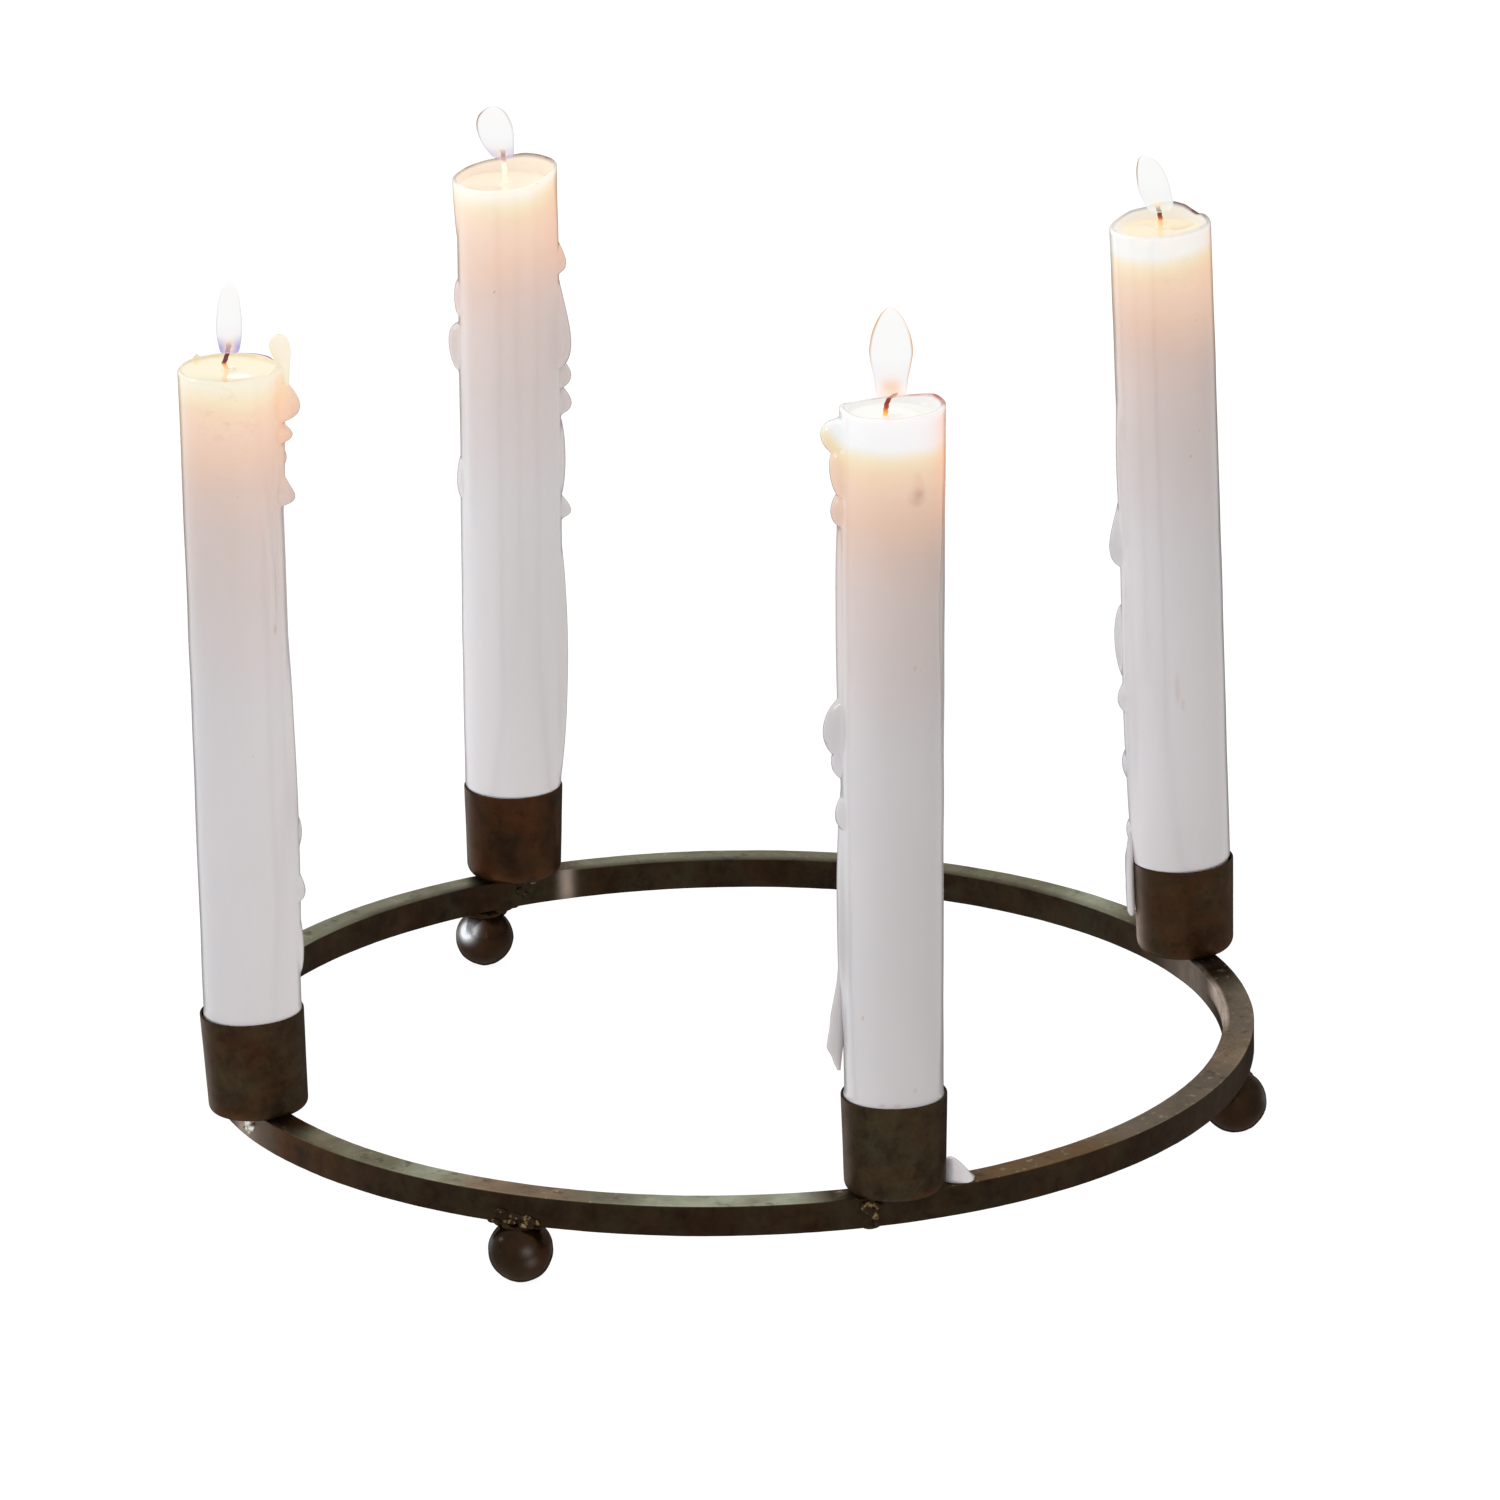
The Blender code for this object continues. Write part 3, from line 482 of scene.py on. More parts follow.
class Tree:
    """A short way to write node trees."""

    def __init__(self, block, shader="Principled BSDF", place="Object"):
        block.use_nodes = True
        self.block, self.tree = block, block.node_tree
        self.shader = self.tree.nodes[shader]
        self.place = self.add("TexCoord").outputs[place]

    def add(self, kind, **settings):
        node = self.tree.nodes.new("ShaderNode" + kind)
        for key, value in settings.items():
            setattr(node, key, value)
        return node

    def join(self, a, b):
        self.tree.links.new(a, b)

    def feed(self, socket, value):
        if isinstance(value, (int, float, tuple)):
            socket.default_value = value
        else:
            self.join(value, socket)

    def put(self, name, value):
        """Sets one of the shader's own sockets."""
        self.feed(self.shader.inputs[name], value)

    def noise(self, scale, detail, roughness=0.55, stretch=None, seed=0.0, distort=0.0):
        """Noise whose features are about 1000/scale mm across."""
        node = self.add("TexNoise", noise_dimensions="4D")
        node.inputs["Scale"].default_value = scale
        node.inputs["Detail"].default_value = detail
        node.inputs["Roughness"].default_value = roughness
        node.inputs["Distortion"].default_value = distort
        node.inputs["W"].default_value = seed
        source = self.place
        if stretch is not None:
            mapping = self.add("Mapping")
            mapping.inputs["Scale"].default_value = stretch
            self.join(self.place, mapping.inputs["Vector"])
            source = mapping.outputs["Vector"]
        self.join(source, node.inputs["Vector"])
        return node.outputs["Fac"]

    def ramp(self, value, stops):
        """stops: (position, number or colour)."""
        node = self.add("ValToRGB")
        ramp = node.color_ramp
        while len(ramp.elements) < len(stops):
            ramp.elements.new(1.0)
        for element, (position, colour) in zip(ramp.elements, stops):
            element.position = position
            element.color = colour if isinstance(colour, tuple) else (colour, colour, colour, 1.0)
        self.join(value, node.inputs["Fac"])
        return node.outputs["Color"]

    def patches(self, scale, detail, start, full, low=0.0, high=1.0, **more):
        """Patches of noise: low where there is none, and high in their middle."""
        return self.ramp(self.noise(scale, detail, **more), [(start, low), (full, high)])

    def mix(self, share, a, b, blend="MIX"):
        node = self.add("Mix", data_type="RGBA", blend_type=blend)
        self.feed(node.inputs[0], share)
        self.feed(node.inputs[6], a)
        self.feed(node.inputs[7], b)
        return node.outputs[2]

    def math(self, kind, a, b=0.0, c=0.0, clamp=False):
        node = self.add("Math", operation=kind, use_clamp=clamp)
        for socket, value in zip(node.inputs, (a, b, c)):
            self.feed(socket, value)
        return node.outputs[0]

    def times(self, a, b):
        return self.math("MULTIPLY", a, b)

    def rest(self, value):
        """One minus a value."""
        return self.math("SUBTRACT", 1.0, value)

    def layer(self, name, output="Fac"):
        return self.add("Attribute", attribute_type="GEOMETRY", attribute_name=name).outputs[output]

    def bump(self, height, distance, strength):
        node = self.add("Bump")
        node.inputs["Strength"].default_value = strength
        node.inputs["Distance"].default_value = distance
        self.join(height, node.inputs["Height"])
        self.join(node.outputs["Normal"], self.shader.inputs["Normal"])


# How each candle's wax, and the spilt wax, should look: how far below the rim it stays white, the
# rim, how light the side is, the inside of the bowl, the pool, the burnt edge, and how glossy
# the bowl is
WAX = {
    1: {"white": 4.3, "rim": (243, 243, 238), "tone": 0.95, "inside": (243, 233, 214),
        "pool": (243, 226, 190), "burnt": (84, 44, 30), "shine": 0.3},
    2: {"white": 1.3, "rim": (250, 246, 230), "tone": 1.12, "inside": (253, 238, 218),
        "pool": (250, 234, 212), "burnt": (110, 66, 56), "shine": 0.5},
    3: {"white": 1.3, "rim": (242, 236, 212), "tone": 1.015, "inside": (240, 222, 190),
        "pool": (240, 228, 192), "burnt": (96, 58, 40), "shine": 0.6},
    4: {"white": 6.9, "rim": (243, 244, 245), "tone": 0.885, "inside": (243, 243, 240),
        "pool": (241, 241, 234), "burnt": (164, 72, 34), "shine": 0.3},
    "spilt": {"white": 0.0, "rim": (240, 236, 240), "tone": 1.0, "inside": (240, 236, 240),
              "pool": (240, 236, 240), "burnt": (200, 190, 190), "shine": 0.5},
}
WAX_DEPTHS = (
    (3.0, (243, 227, 188)), (6.0, (243, 213, 178)), (11.0, (239, 204, 178)),
    (18.0, (228, 194, 171)), (25.0, (214, 188, 175)), (35.0, (204, 188, 182)),
    (50.0, (199, 188, 185)),
)
WAX_LAYERS = ("depth", "pool", "inside", "warm", "burnt", "pits", "stain", "painted_side_shading")
# How far below the rim the wax's colour still changes, and how far down and how much it glows
WAX_CHANGES = 80.0
GLOW_REACH = 26.0
GLOW = 0.5
# The light on a white surface, and what the wax's gloss adds to it
DAYLIGHT = 1.12
GLOSS = 0.03


def wax_parts(colour, tone, share):
    """Splits a look into what the wax reflects and what shines from within it."""
    look = [c * tone for c in linear(*colour)[:3]]
    glow = [c * share for c in look]
    body = [min(max((c - GLOSS - g) / DAYLIGHT, 0.0), 0.9) for c, g in zip(look, glow)]
    return (*body, 1.0), (*glow, 1.0)


def wax_material(name, look, seed):
    """Wax, lit from within near the flame: white, then cream, peach and lilac-grey."""
    t = Tree(bpy.data.materials.new(name))
    wander = t.times(t.math("SUBTRACT", t.noise(60.0, 2.0, seed=seed), 0.5), 4.0)
    level = t.math("DIVIDE", t.math("ADD", t.layer("depth"), wander), WAX_CHANGES, clamp=True)
    stops = [(0.0, look["rim"], GLOW), (look["white"], look["rim"], GLOW)]
    stops += [
        (look["white"] + depth, colour, GLOW * max(1.0 - depth / GLOW_REACH, 0.0) ** 1.5)
        for depth, colour in WAX_DEPTHS
    ]
    stops.append((WAX_CHANGES - 1.0, (198, 194, 195), 0.0))
    bodies, glows = [], []
    for depth, colour, share in stops:
        tone = 1.0 + (look["tone"] - 1.0) * min(depth / 25.0, 1.0)
        body, glow = wax_parts(colour, tone, share)
        bodies.append((depth / WAX_CHANGES, body))
        glows.append((depth / WAX_CHANGES, glow))
    body, glow = t.ramp(level, bodies), t.ramp(level, glows)

    mottle = t.patches(190.0, 3.0, 0.4, 0.72, seed=seed + 3)
    warm = t.times(mottle, t.math("SUBTRACT", 0.2, t.times(level, 0.2)))
    body = t.mix(warm, body, linear(206, 160, 136))
    cloud = t.noise(28.0, 3.0, stretch=(1.0, 1.0, 0.35), seed=seed + 7)
    body = t.mix(t.ramp(cloud, [(0.4, 0.0), (0.7, 0.25)]), body, linear(206, 198, 202))
    pits = t.times(
        t.noise(420.0, 3.0, 0.6, stretch=(1.0, 1.0, 1.8), seed=seed + 9, distort=0.8),
        t.noise(130.0, 2.0, seed=seed + 14),
    )
    pits = t.times(t.ramp(pits, [(0.29, 0.0), (0.36, 1.0)]), t.layer("pits"))
    body = t.mix(t.times(pits, 0.6), body, linear(206, 160, 124))
    glow = t.mix(t.times(pits, 0.5), glow, (0.12, 0.08, 0.05, 1.0))
    stain = t.times(t.layer("stain"), t.patches(400.0, 3.0, 0.3, 0.6, low=0.6, seed=seed + 19))
    body = t.mix(stain, body, linear(150, 104, 76))
    glow = t.mix(t.times(stain, 0.7), glow, (0.12, 0.05, 0.02, 1.0))
    # Painted light and shade: each candle lighter or darker on its right side, a little darker on
    # drips
    body = t.mix(1.0, body, t.math("ADD", t.layer("painted_side_shading"), 1.0), "MULTIPLY")
    speck = t.patches(480.0, 1.0, 0.775, 0.8, seed=seed + 11)
    body = t.mix(t.times(speck, 0.35), body, linear(140, 112, 98))

    inside, pool = t.layer("inside"), t.layer("pool")
    for share, key in ((inside, "inside"), (pool, "pool")):
        lit, shine = wax_parts(look[key], 1.0, 0.6)
        swirl = t.times(share, t.patches(150.0, 2.0, 0.2, 0.6, low=0.75, seed=seed + 15))
        body, glow = t.mix(swirl, body, lit), t.mix(swirl, glow, shine)
    # Painted glow: orange on the right side near the rim, in the colour and in the light from
    # within
    warm = t.layer("warm")
    body = t.mix(warm, body, linear(236, 158, 100))
    glow = t.mix(t.times(warm, 0.7), glow, (0.12, 0.03, 0.01, 1.0))
    burnt = t.times(t.layer("burnt"), t.patches(300.0, 3.0, 0.3, 0.6, low=0.7, seed=seed + 16))
    body = t.mix(burnt, body, linear(*look["burnt"]))
    glow = t.mix(burnt, glow, (0.0, 0.0, 0.0, 1.0))

    t.put("Base Color", body)
    t.put("Emission Color", glow)
    t.put("Emission Strength", 1.0)
    scuff = t.patches(90.0, 4.0, 0.3, 0.7, low=0.36, high=0.5, seed=seed + 5)
    t.put("Roughness", t.mix(pool, scuff, (0.08, 0.08, 0.08, 1.0)))
    t.put("Subsurface Weight", 0.25)
    t.put("Subsurface Radius", (1.0, 0.6, 0.4))
    t.put("Subsurface Scale", 0.004)
    t.put("IOR", 1.44)
    t.put("Specular IOR Level", 0.3)
    coat = t.rest(t.times(inside, 1.0 - look["shine"]))
    t.put("Coat Weight", t.times(coat, t.rest(burnt)))
    t.put("Coat Roughness", t.mix(pool, (0.2, 0.2, 0.2, 1.0), (0.06, 0.06, 0.06, 1.0)))
    t.put("Coat IOR", 1.6)
    fine = t.noise(260.0, 3.0, stretch=(1.0, 1.0, 0.3), seed=seed + 2)
    still = t.times(fine, t.rest(pool))
    t.bump(t.math("SUBTRACT", still, t.times(pits, 1.5)), 0.00012, 0.7)
    return t.block


def iron_material(name, seed, patina=0.5, ruddy=0.5, gloss=0.0, deep=0.0, wear_and_sheen=(198, 180, 166)):
    """Waxed wrought iron: brown mottled with grey-green and red, and patina with a painted sheen
    where it faces up.
    """
    t = Tree(bpy.data.materials.new(name))
    base = t.ramp(t.noise(150.0, 5.0, seed=seed), [
        (0.32, linear(20, 12, 6)), (0.5, linear(32, 21, 11)), (0.7, linear(44, 31, 18)),
    ])
    large = t.noise(80.0, 3.0, 0.6, seed=seed + 31, distort=0.3)
    small = t.noise(380.0, 4.0, 0.65, seed=seed + 4, distort=0.4)
    bloom = t.math("ADD", t.times(large, 0.6), t.times(small, 0.4))
    bloom = t.ramp(bloom, [(0.42, 0.0), (0.62, 1.0)])
    base = t.mix(t.times(bloom, patina), base, linear(58, 55, 38))
    red = t.patches(90.0, 4.0, 0.36, 0.7, roughness=0.6, seed=seed + 21, distort=0.3)
    base = t.mix(t.times(red, ruddy), base, linear(66, 37, 18))
    base = t.mix(deep, base, linear(14, 9, 4))

    # The upper face: patina with a painted sheen, from the tint layer, with brown patches and pale
    # flecks
    earth = t.patches(
        90.0, 5.0, 0.38, 0.68, high=0.6, roughness=0.65, seed=seed + 9, distort=0.3,
    )
    face = t.mix(earth, t.layer("tint", "Color"), linear(86, 76, 60))
    fleck = t.patches(
        420.0, 4.0, 0.58, 0.7, high=0.45, roughness=0.65, seed=seed + 23, distort=0.4,
    )
    face = t.mix(fleck, face, linear(184, 166, 134))
    base = t.mix(t.layer("upward"), base, face)
    spots = t.patches(300.0, 3.0, 0.58, 0.7, seed=seed + 2)
    base = t.mix(t.times(spots, 0.45), base, linear(20, 12, 7))
    rusty = t.times(t.layer("rusty"), t.patches(120.0, 4.0, 0.35, 0.6, seed=seed + 8))
    base = t.mix(rusty, base, linear(92, 54, 26))
    # Painted highlights and sheen, and pale patches, where the bright layer is
    bright = t.patches(170.0, 4.0, 0.25, 0.6, low=0.6, seed=seed + 25)
    base = t.mix(t.times(t.layer("bright"), bright), base, linear(*wear_and_sheen))

    t.put("Base Color", base)
    t.put("Metallic", 0.7)
    t.put("Specular IOR Level", 0.2)
    t.put("Specular Tint", (0.55, 0.5, 0.46, 1.0))
    t.put("Roughness", t.patches(
        170.0, 4.0, 0.3, 0.7, low=0.32 - gloss, high=0.52 - gloss, seed=seed + 1,
    ))
    coarse = t.times(t.noise(220.0, 5.0, seed=seed + 12), 0.6)
    height = t.math("ADD", coarse, t.times(t.noise(700.0, 3.0, seed=seed + 13), 0.4))
    t.bump(height, 0.00035, 0.6)
    return t.block


def weld_material(name, seed, light, wear_and_sheen=(222, 222, 214)):
    """Weld metal: dark scale, with some of it rubbed to gold or silver-green."""
    t = Tree(bpy.data.materials.new(name))
    colour = t.ramp(t.noise(520.0, 4.0, 0.65, seed=seed, distort=0.4), [
        (0.6 - light, linear(34, 24, 15)), (0.66 - light, linear(104, 84, 52)),
        (0.72 - light, linear(*(0.7 * c for c in wear_and_sheen))), (0.82 - light, linear(*wear_and_sheen)),
    ])
    t.put("Base Color", colour)
    t.put("Metallic", 0.6)
    t.put("Specular IOR Level", 0.2)
    t.put("Specular Tint", (0.7, 0.62, 0.5, 1.0))
    t.put("Roughness", t.patches(420.0, 3.0, 0.3, 0.7, low=0.26, high=0.5, seed=seed + 1))
    t.bump(t.noise(900.0, 4.0, seed=seed + 2), 0.0002, 0.6)
    return t.block


# Wicks from pool to tip: (share of the height, colour)
WICKS = {
    1: ((0.0, (240, 206, 160)), (0.3, (236, 176, 128)), (0.42, (150, 78, 52)), (0.55, (92, 42, 32)),
        (0.76, (104, 50, 36)), (0.86, (196, 158, 88)), (1.0, (238, 228, 160))),
    2: ((0.0, (248, 234, 210)), (0.55, (247, 228, 206)), (0.68, (176, 130, 124)),
        (0.77, (104, 62, 78)), (0.88, (120, 76, 86)), (0.95, (220, 190, 166)),
        (1.0, (244, 234, 204))),
    3: ((0.0, (240, 210, 170)), (0.27, (230, 170, 130)), (0.36, (104, 50, 50)),
        (0.74, (84, 38, 54)), (0.92, (92, 44, 62)), (1.0, (214, 140, 112))),
    4: ((0.0, (250, 200, 110)), (0.22, (236, 140, 70)), (0.38, (160, 62, 40)), (0.6, (120, 42, 34)),
        (0.9, (132, 50, 38)), (1.0, (210, 140, 110))),
}


def wick_material(name, stops, seed):
    """Charred cotton, dark where it is burnt and lit by the flame at its ends."""
    t = Tree(bpy.data.materials.new(name))
    colour = t.ramp(t.layer("rise"), [(at, linear(*c)) for at, c in stops])
    fibre = t.patches(900.0, 4.0, 0.3, 0.7, high=0.22, stretch=(1.0, 1.0, 0.4), seed=seed)
    t.put("Base Color", t.mix(fibre, colour, linear(70, 36, 30)))
    t.put("Emission Color", colour)
    t.put("Emission Strength", 0.45)
    t.put("Roughness", 0.85)
    t.bump(t.noise(1500.0, 4.0, stretch=(1.0, 1.0, 0.25), seed=seed + 1), 0.0003, 0.9)
    return t.block


# Flames: colours of the foot's middle and sides, its cover, the outline's colour, and how strong
# the outline is by height, left and right
FLAME_LOOKS = {
    1: ((252, 246, 220), (250, 249, 246), 0.45, (160, 122, 84),
        ((0.0, 0.1), (0.4, 0.2), (0.6, 0.8), (0.85, 1.0), (1.0, 0.7)), ((0.0, 0.2), (1.0, 0.15))),
    2: ((232, 206, 196), (214, 206, 232), 0.6, (164, 122, 92),
        ((0.0, 0.7), (0.3, 0.5), (0.55, 0.9), (0.85, 1.0), (1.0, 0.5)),
        ((0.0, 0.4), (0.5, 0.25), (1.0, 0.5))),
    3: ((238, 206, 196), (172, 166, 220), 0.8, (186, 168, 190),
        ((0.0, 0.5), (0.5, 0.45), (1.0, 0.0)), ((0.0, 0.5), (0.5, 0.4), (1.0, 0.0))),
    4: ((246, 192, 146), (250, 242, 236), 0.5, (216, 160, 100),
        ((0.0, 0.3), (0.25, 0.2), (0.5, 0.7), (0.85, 1.0), (1.0, 1.0)),
        ((0.0, 0.3), (0.3, 0.9), (0.6, 0.9), (0.8, 0.3), (1.0, 0.6))),
}


def flame_material(name, middle, sides, cover, line, seed):
    """A pale flame: near white, with a coloured foot and a thin warm outline."""
    t = Tree(bpy.data.materials.new(name))
    rise, core = t.layer("rise"), t.layer("core")
    waver = t.times(t.math("SUBTRACT", t.noise(160.0, 2.0, seed=seed), 0.5), 0.06)
    rise = t.math("ADD", rise, waver, clamp=True)
    parts = (
        (sides, 0.08, 0.26, (244, 243, 247)),
        (middle, 0.11, 0.24, (248, 244, 242)),
    )
    colours = [
        t.ramp(rise, [
            (0.0, linear(*foot)), (foot_end, linear(*foot)), (pale_start, linear(*pale)),
            (0.45, linear(249, 249, 249)), (1.0, linear(251, 250, 248)),
        ])
        for foot, foot_end, pale_start, pale in parts
    ]
    colour = t.mix(core, *colours)
    colour = t.mix(t.layer("edge"), colour, linear(*line))
    t.put("Base Color", (0.0, 0.0, 0.0, 1.0))
    t.put("Specular IOR Level", 0.0)
    t.put("Roughness", 1.0)
    t.put("Emission Color", colour)
    t.put("Emission Strength", 1.0)
    thick = t.ramp(rise, [
        (0.0, cover), (0.16, max(cover, 0.7)), (0.35, 0.86), (0.85, 0.9), (1.0, 0.5),
    ])
    fade = t.math("MULTIPLY_ADD", core, -0.35, 0.9)
    low = t.ramp(rise, [(0.0, 1.0), (0.2, 0.0)])
    t.put("Alpha", t.mix(low, thick, t.times(thick, fade)))
    return t.block


def cup_matrix(s):
    flat = CUP_BASE - s["cup_corner"]
    lift = GAP + flat * abs(math.sin(math.radians(s["cup_lean"])))
    place = polar(MIDDLE + s["offset"], s["angle"], TOP + lift)
    return Matrix.Translation(place) @ leaning(s["cup_lean"])


def candle_place(s):
    """The candle's matrix, the height of its foot above the ring's face, and its length."""
    slack = math.radians(abs(s["lean"] - s["cup_lean"]))
    floor = CUP_WALL + GAP + FOOT_RADIUS * math.sin(slack)
    seat = cup_matrix(s) @ Vector((0.0, 0.0, floor))
    matrix = Matrix.Translation(seat + polar(s["shift"], SIDE)) @ leaning(s["lean"])
    base = matrix.translation.z - TOP
    return matrix, base, s["top"] - base


def drip_rise(s, degrees, height, base):
    """How far the wax stands out from the candle's side, by angle and height above its foot."""
    rise = np.zeros(np.broadcast(degrees, height).shape)
    for number, (side, turn, top, bottom, reach, width, full) in enumerate(s["drips"]):
        top, bottom = top - base, bottom - base
        v = np.clip((top - height) / (top - bottom), 0.0, 1.0)
        coat = width >= COAT
        shape = np.sin(math.pi * v ** full) ** (0.75 if coat else 0.45)
        wander = 0.0 if coat else 4.0 * np.sin(height / 9.0 + number * 2.1)
        across = angle_apart(degrees, side + turn + wander) * math.radians(1.0) * s["low"]
        across = np.clip(np.abs(across / (width * (0.34 + 0.2 * shape))), 0.0, 1.0)
        lobe = np.cos(across * math.pi / 2) ** 2 if coat else np.sqrt(1.0 - across ** 2)
        rise = np.maximum(rise, (reach - s["low"]) * shape * lobe)
    return rise


def soften(field):
    """Blurs a field of columns that wrap round and rows that don't."""
    field = (np.roll(field, 1, 1) + 2 * field + np.roll(field, -1, 1)) / 4
    above = np.vstack([field[1:], field[-1:]])
    below = np.vstack([field[:1], field[:-1]])
    return (above + 2 * field + below) / 4


def side_rows(s, low, high, base):
    """Heights of the rows up a candle's side, closer together where there are small drips."""
    step, fine_step, margin, longest = 0.85, 0.33, 0.8, 25.0
    small = [
        (top - base + margin, bottom - base - margin)
        for _, _, top, bottom, _, width, _ in s["drips"] if width < COAT and top - bottom < longest
    ]
    rows, z = [low], low
    while z < high:
        z += fine_step if any(bottom < z < top for top, bottom in small) else step
        rows.append(min(z, high))
    return np.array(rows)


class CandleSkin:
    """A candle's skin, ring by ring, and what its material needs to know at each point."""

    COLUMNS = 192
    # How far below the rim the rows begin to follow it, and its rounded edge's height and width
    BELOW_RIM = 8.5
    EDGE_DROP = 0.55
    EDGE_BEND = 0.4
    # The candle's radius in the cup's mouth
    NECK = 11.5
    # The wick's radius at the pool, which the wax climbs by a little
    WICK_FOOT = 0.9
    WICK_CLIMB = 0.3

    def __init__(self, s, number):
        self.s, self.number = s, number
        self.matrix, self.base, self.length = candle_place(s)
        self.degrees = np.arange(self.COLUMNS) * 360.0 / self.COLUMNS
        self.turns = np.radians(self.degrees)
        self.floor = self.length - s["pool"]
        level = self.length + round_table(s["rim"], self.degrees)
        level = (np.roll(level, 1) + 2 * level + np.roll(level, -1)) / 4
        level = level + 0.05 * np.sin(7 * self.turns + number)
        self.level = np.maximum(level, self.floor + 0.12)
        self.scorch = round_table(s["burnt"], self.degrees)
        self.facing = hump(self.degrees, RIGHT + 2.0, 32.0)
        self.rings, self.layers = [], {key: [] for key in WAX_LAYERS}
        self.add_foot_and_side()
        self.add_top()

    def add(self, r, z, wet=0.0, inside=0.0, burnt=0.0, outer=True, proud=0.0):
        """Adds a ring. proud: how far drips stand out from the candle there."""
        s, degrees, turns = self.s, self.degrees, self.turns
        z = np.broadcast_to(z, turns.shape)
        along = np.clip(z / self.length, 0, 1)
        side = s["bow"] * 4 * along * (1 - along)
        x = r * np.cos(turns) + side * math.cos(math.radians(SIDE))
        y = r * np.sin(turns) + side * math.sin(math.radians(SIDE))
        self.rings.append(np.stack([x, y, z], 1))
        deeper = np.maximum(self.level - z, 0.0)
        # A painted glow: orange on the right side, near the rim only
        warm = s["painted_edge_glow"] * self.facing * smooth_step(deeper / 2.0)
        warm = warm * (1 - smooth_step((deeper - 8.0) / 30.0)) * (1 - proud / 4.0)
        front, deep, spread, strength = s["pits"]
        aside = angle_apart(degrees, FRONT + front) / (spread * 4.5)
        pitted = np.exp(-aside ** 2 - ((deeper - deep) / spread) ** 2)
        # Painted light and shade: lighter or darker on the right, near the rim and lower down, and
        # a little darker where drips stand out
        upper, lower = s["painted_side_shading"]
        painted_side_shading = upper + (lower - upper) * smooth_step((deeper - 15.0) / 25.0)
        painted_side_shading = painted_side_shading * (1 - proud / 3.5) * np.cos(turns - math.radians(RIGHT)) - 0.025 * proud
        stain = 0.0 * deeper
        for where, height, wide, tall, dark in s["stains"]:
            aside = np.radians(angle_apart(degrees, FRONT + where)) * s["low"] / wide
            above = (z + self.base - height) / tall
            stain = stain + outer * dark * np.exp(-(aside ** 2 + above ** 2) ** 2)
        values = {
            "depth": deeper + 1.1 * proud, "stain": stain, "painted_side_shading": painted_side_shading, "pool": wet,
            "inside": inside, "burnt": burnt * self.scorch, "warm": warm * outer,
            "pits": strength * pitted * outer,
        }
        for key, value in values.items():
            self.layers[key].append(np.broadcast_to(value, turns.shape))

    def add_foot_and_side(self):
        """The shaved foot in the cup, and the side with its lumps and runs of wax."""
        s, length, columns = self.s, self.length, self.COLUMNS
        rim = cup_matrix(s).translation.z - TOP + s["cup_height"] - self.base
        low_rows = side_rows(s, rim + 0.5, length - self.BELOW_RIM, self.base)
        start, end = low_rows[-1], self.level - self.EDGE_DROP
        heights = [np.full(columns, z) for z in low_rows]
        heights += [start + (end - start) * share for share in np.linspace(0.0, 1.0, 27)[1:]]
        heights = np.array(heights)
        grid = np.broadcast_to(self.degrees, heights.shape)
        share = np.clip((heights - rim) / (length - rim), 0, 1)
        radius = s["low"] + (s["high"] - s["low"]) * share
        bulge = soften(drip_rise(s, grid, heights, self.base))
        spots = round_axis(12, np.radians(grid), heights * 0.45).reshape(-1, 3)
        uneven = 0.1 * grain(spots, 6.0, self.number * 3.1)
        radius = radius + bulge + uneven.reshape(heights.shape)
        foot = (
            (8.0, 0.0), (9.8, 0.9), (FOOT_RADIUS, 2.6), (FOOT_RADIUS + 0.4, rim - 2.0),
            (self.NECK, rim - 1.0),
        )
        for r, z in foot:
            self.add(np.full(columns, r), z)
        for step in (0.0, 0.5):
            self.add(self.NECK + (radius[0] - self.NECK) * step, rim + 0.5 * (step - 0.2))
        for r, z, out in zip(radius, heights, bulge):
            self.add(r, z, proud=np.minimum(out, 3.0))
        self.edge = radius[-1]

    def add_top(self):
        """The rounded edge, the bowl that the flame melted, and the pool in it."""
        s, level = self.s, self.level
        for share in np.linspace(0, 1, 7)[1:]:
            a = share * math.pi / 2
            self.add(
                self.edge - self.EDGE_BEND * (1 - math.cos(a)),
                level - self.EDGE_DROP + self.EDGE_DROP * math.sin(a),
                burnt=min(share * 2, 1.0), outer=False,
            )
        lip = self.edge - self.EDGE_BEND
        inner = s["pool_radius"] + 0.25 * np.sin(2 * self.turns + self.number)
        to_front, to_right = s["slope"]
        tilt = to_front * np.cos(np.radians(self.degrees - FRONT))
        tilt = tilt + to_right * np.cos(np.radians(self.degrees - RIGHT))
        crest = np.minimum(self.edge - s["lip"], lip - 0.05)
        self.add((lip + crest) / 2, level + 0.02, burnt=1.0, inside=0.3, outer=False)
        for share in np.linspace(0, 1, 14):
            bottom = np.minimum(self.floor + tilt * inner, level - 0.1)
            self.add(
                crest + (inner - crest) * share,
                level + (bottom - level) * np.sin(share * math.pi / 2),
                wet=float(smooth_step((share - 0.55) / 0.45)),
                inside=float(smooth_step(share * 3)),
                burnt=max(1.0 - 6.0 * share, 0.0), outer=False,
            )
        for share in np.linspace(0, 1, 16)[1:]:
            r = inner * (1 - share) + self.WICK_FOOT * share
            dish = -s["dish"] * (inner ** 2 - r ** 2)
            climb = self.WICK_CLIMB * math.exp(-(float(r.mean()) - self.WICK_FOOT) / 0.5)
            z = np.minimum(self.floor + tilt * r, level - 0.1) + dish + climb
            self.add(r, z, wet=1.0, inside=1.0, outer=False)


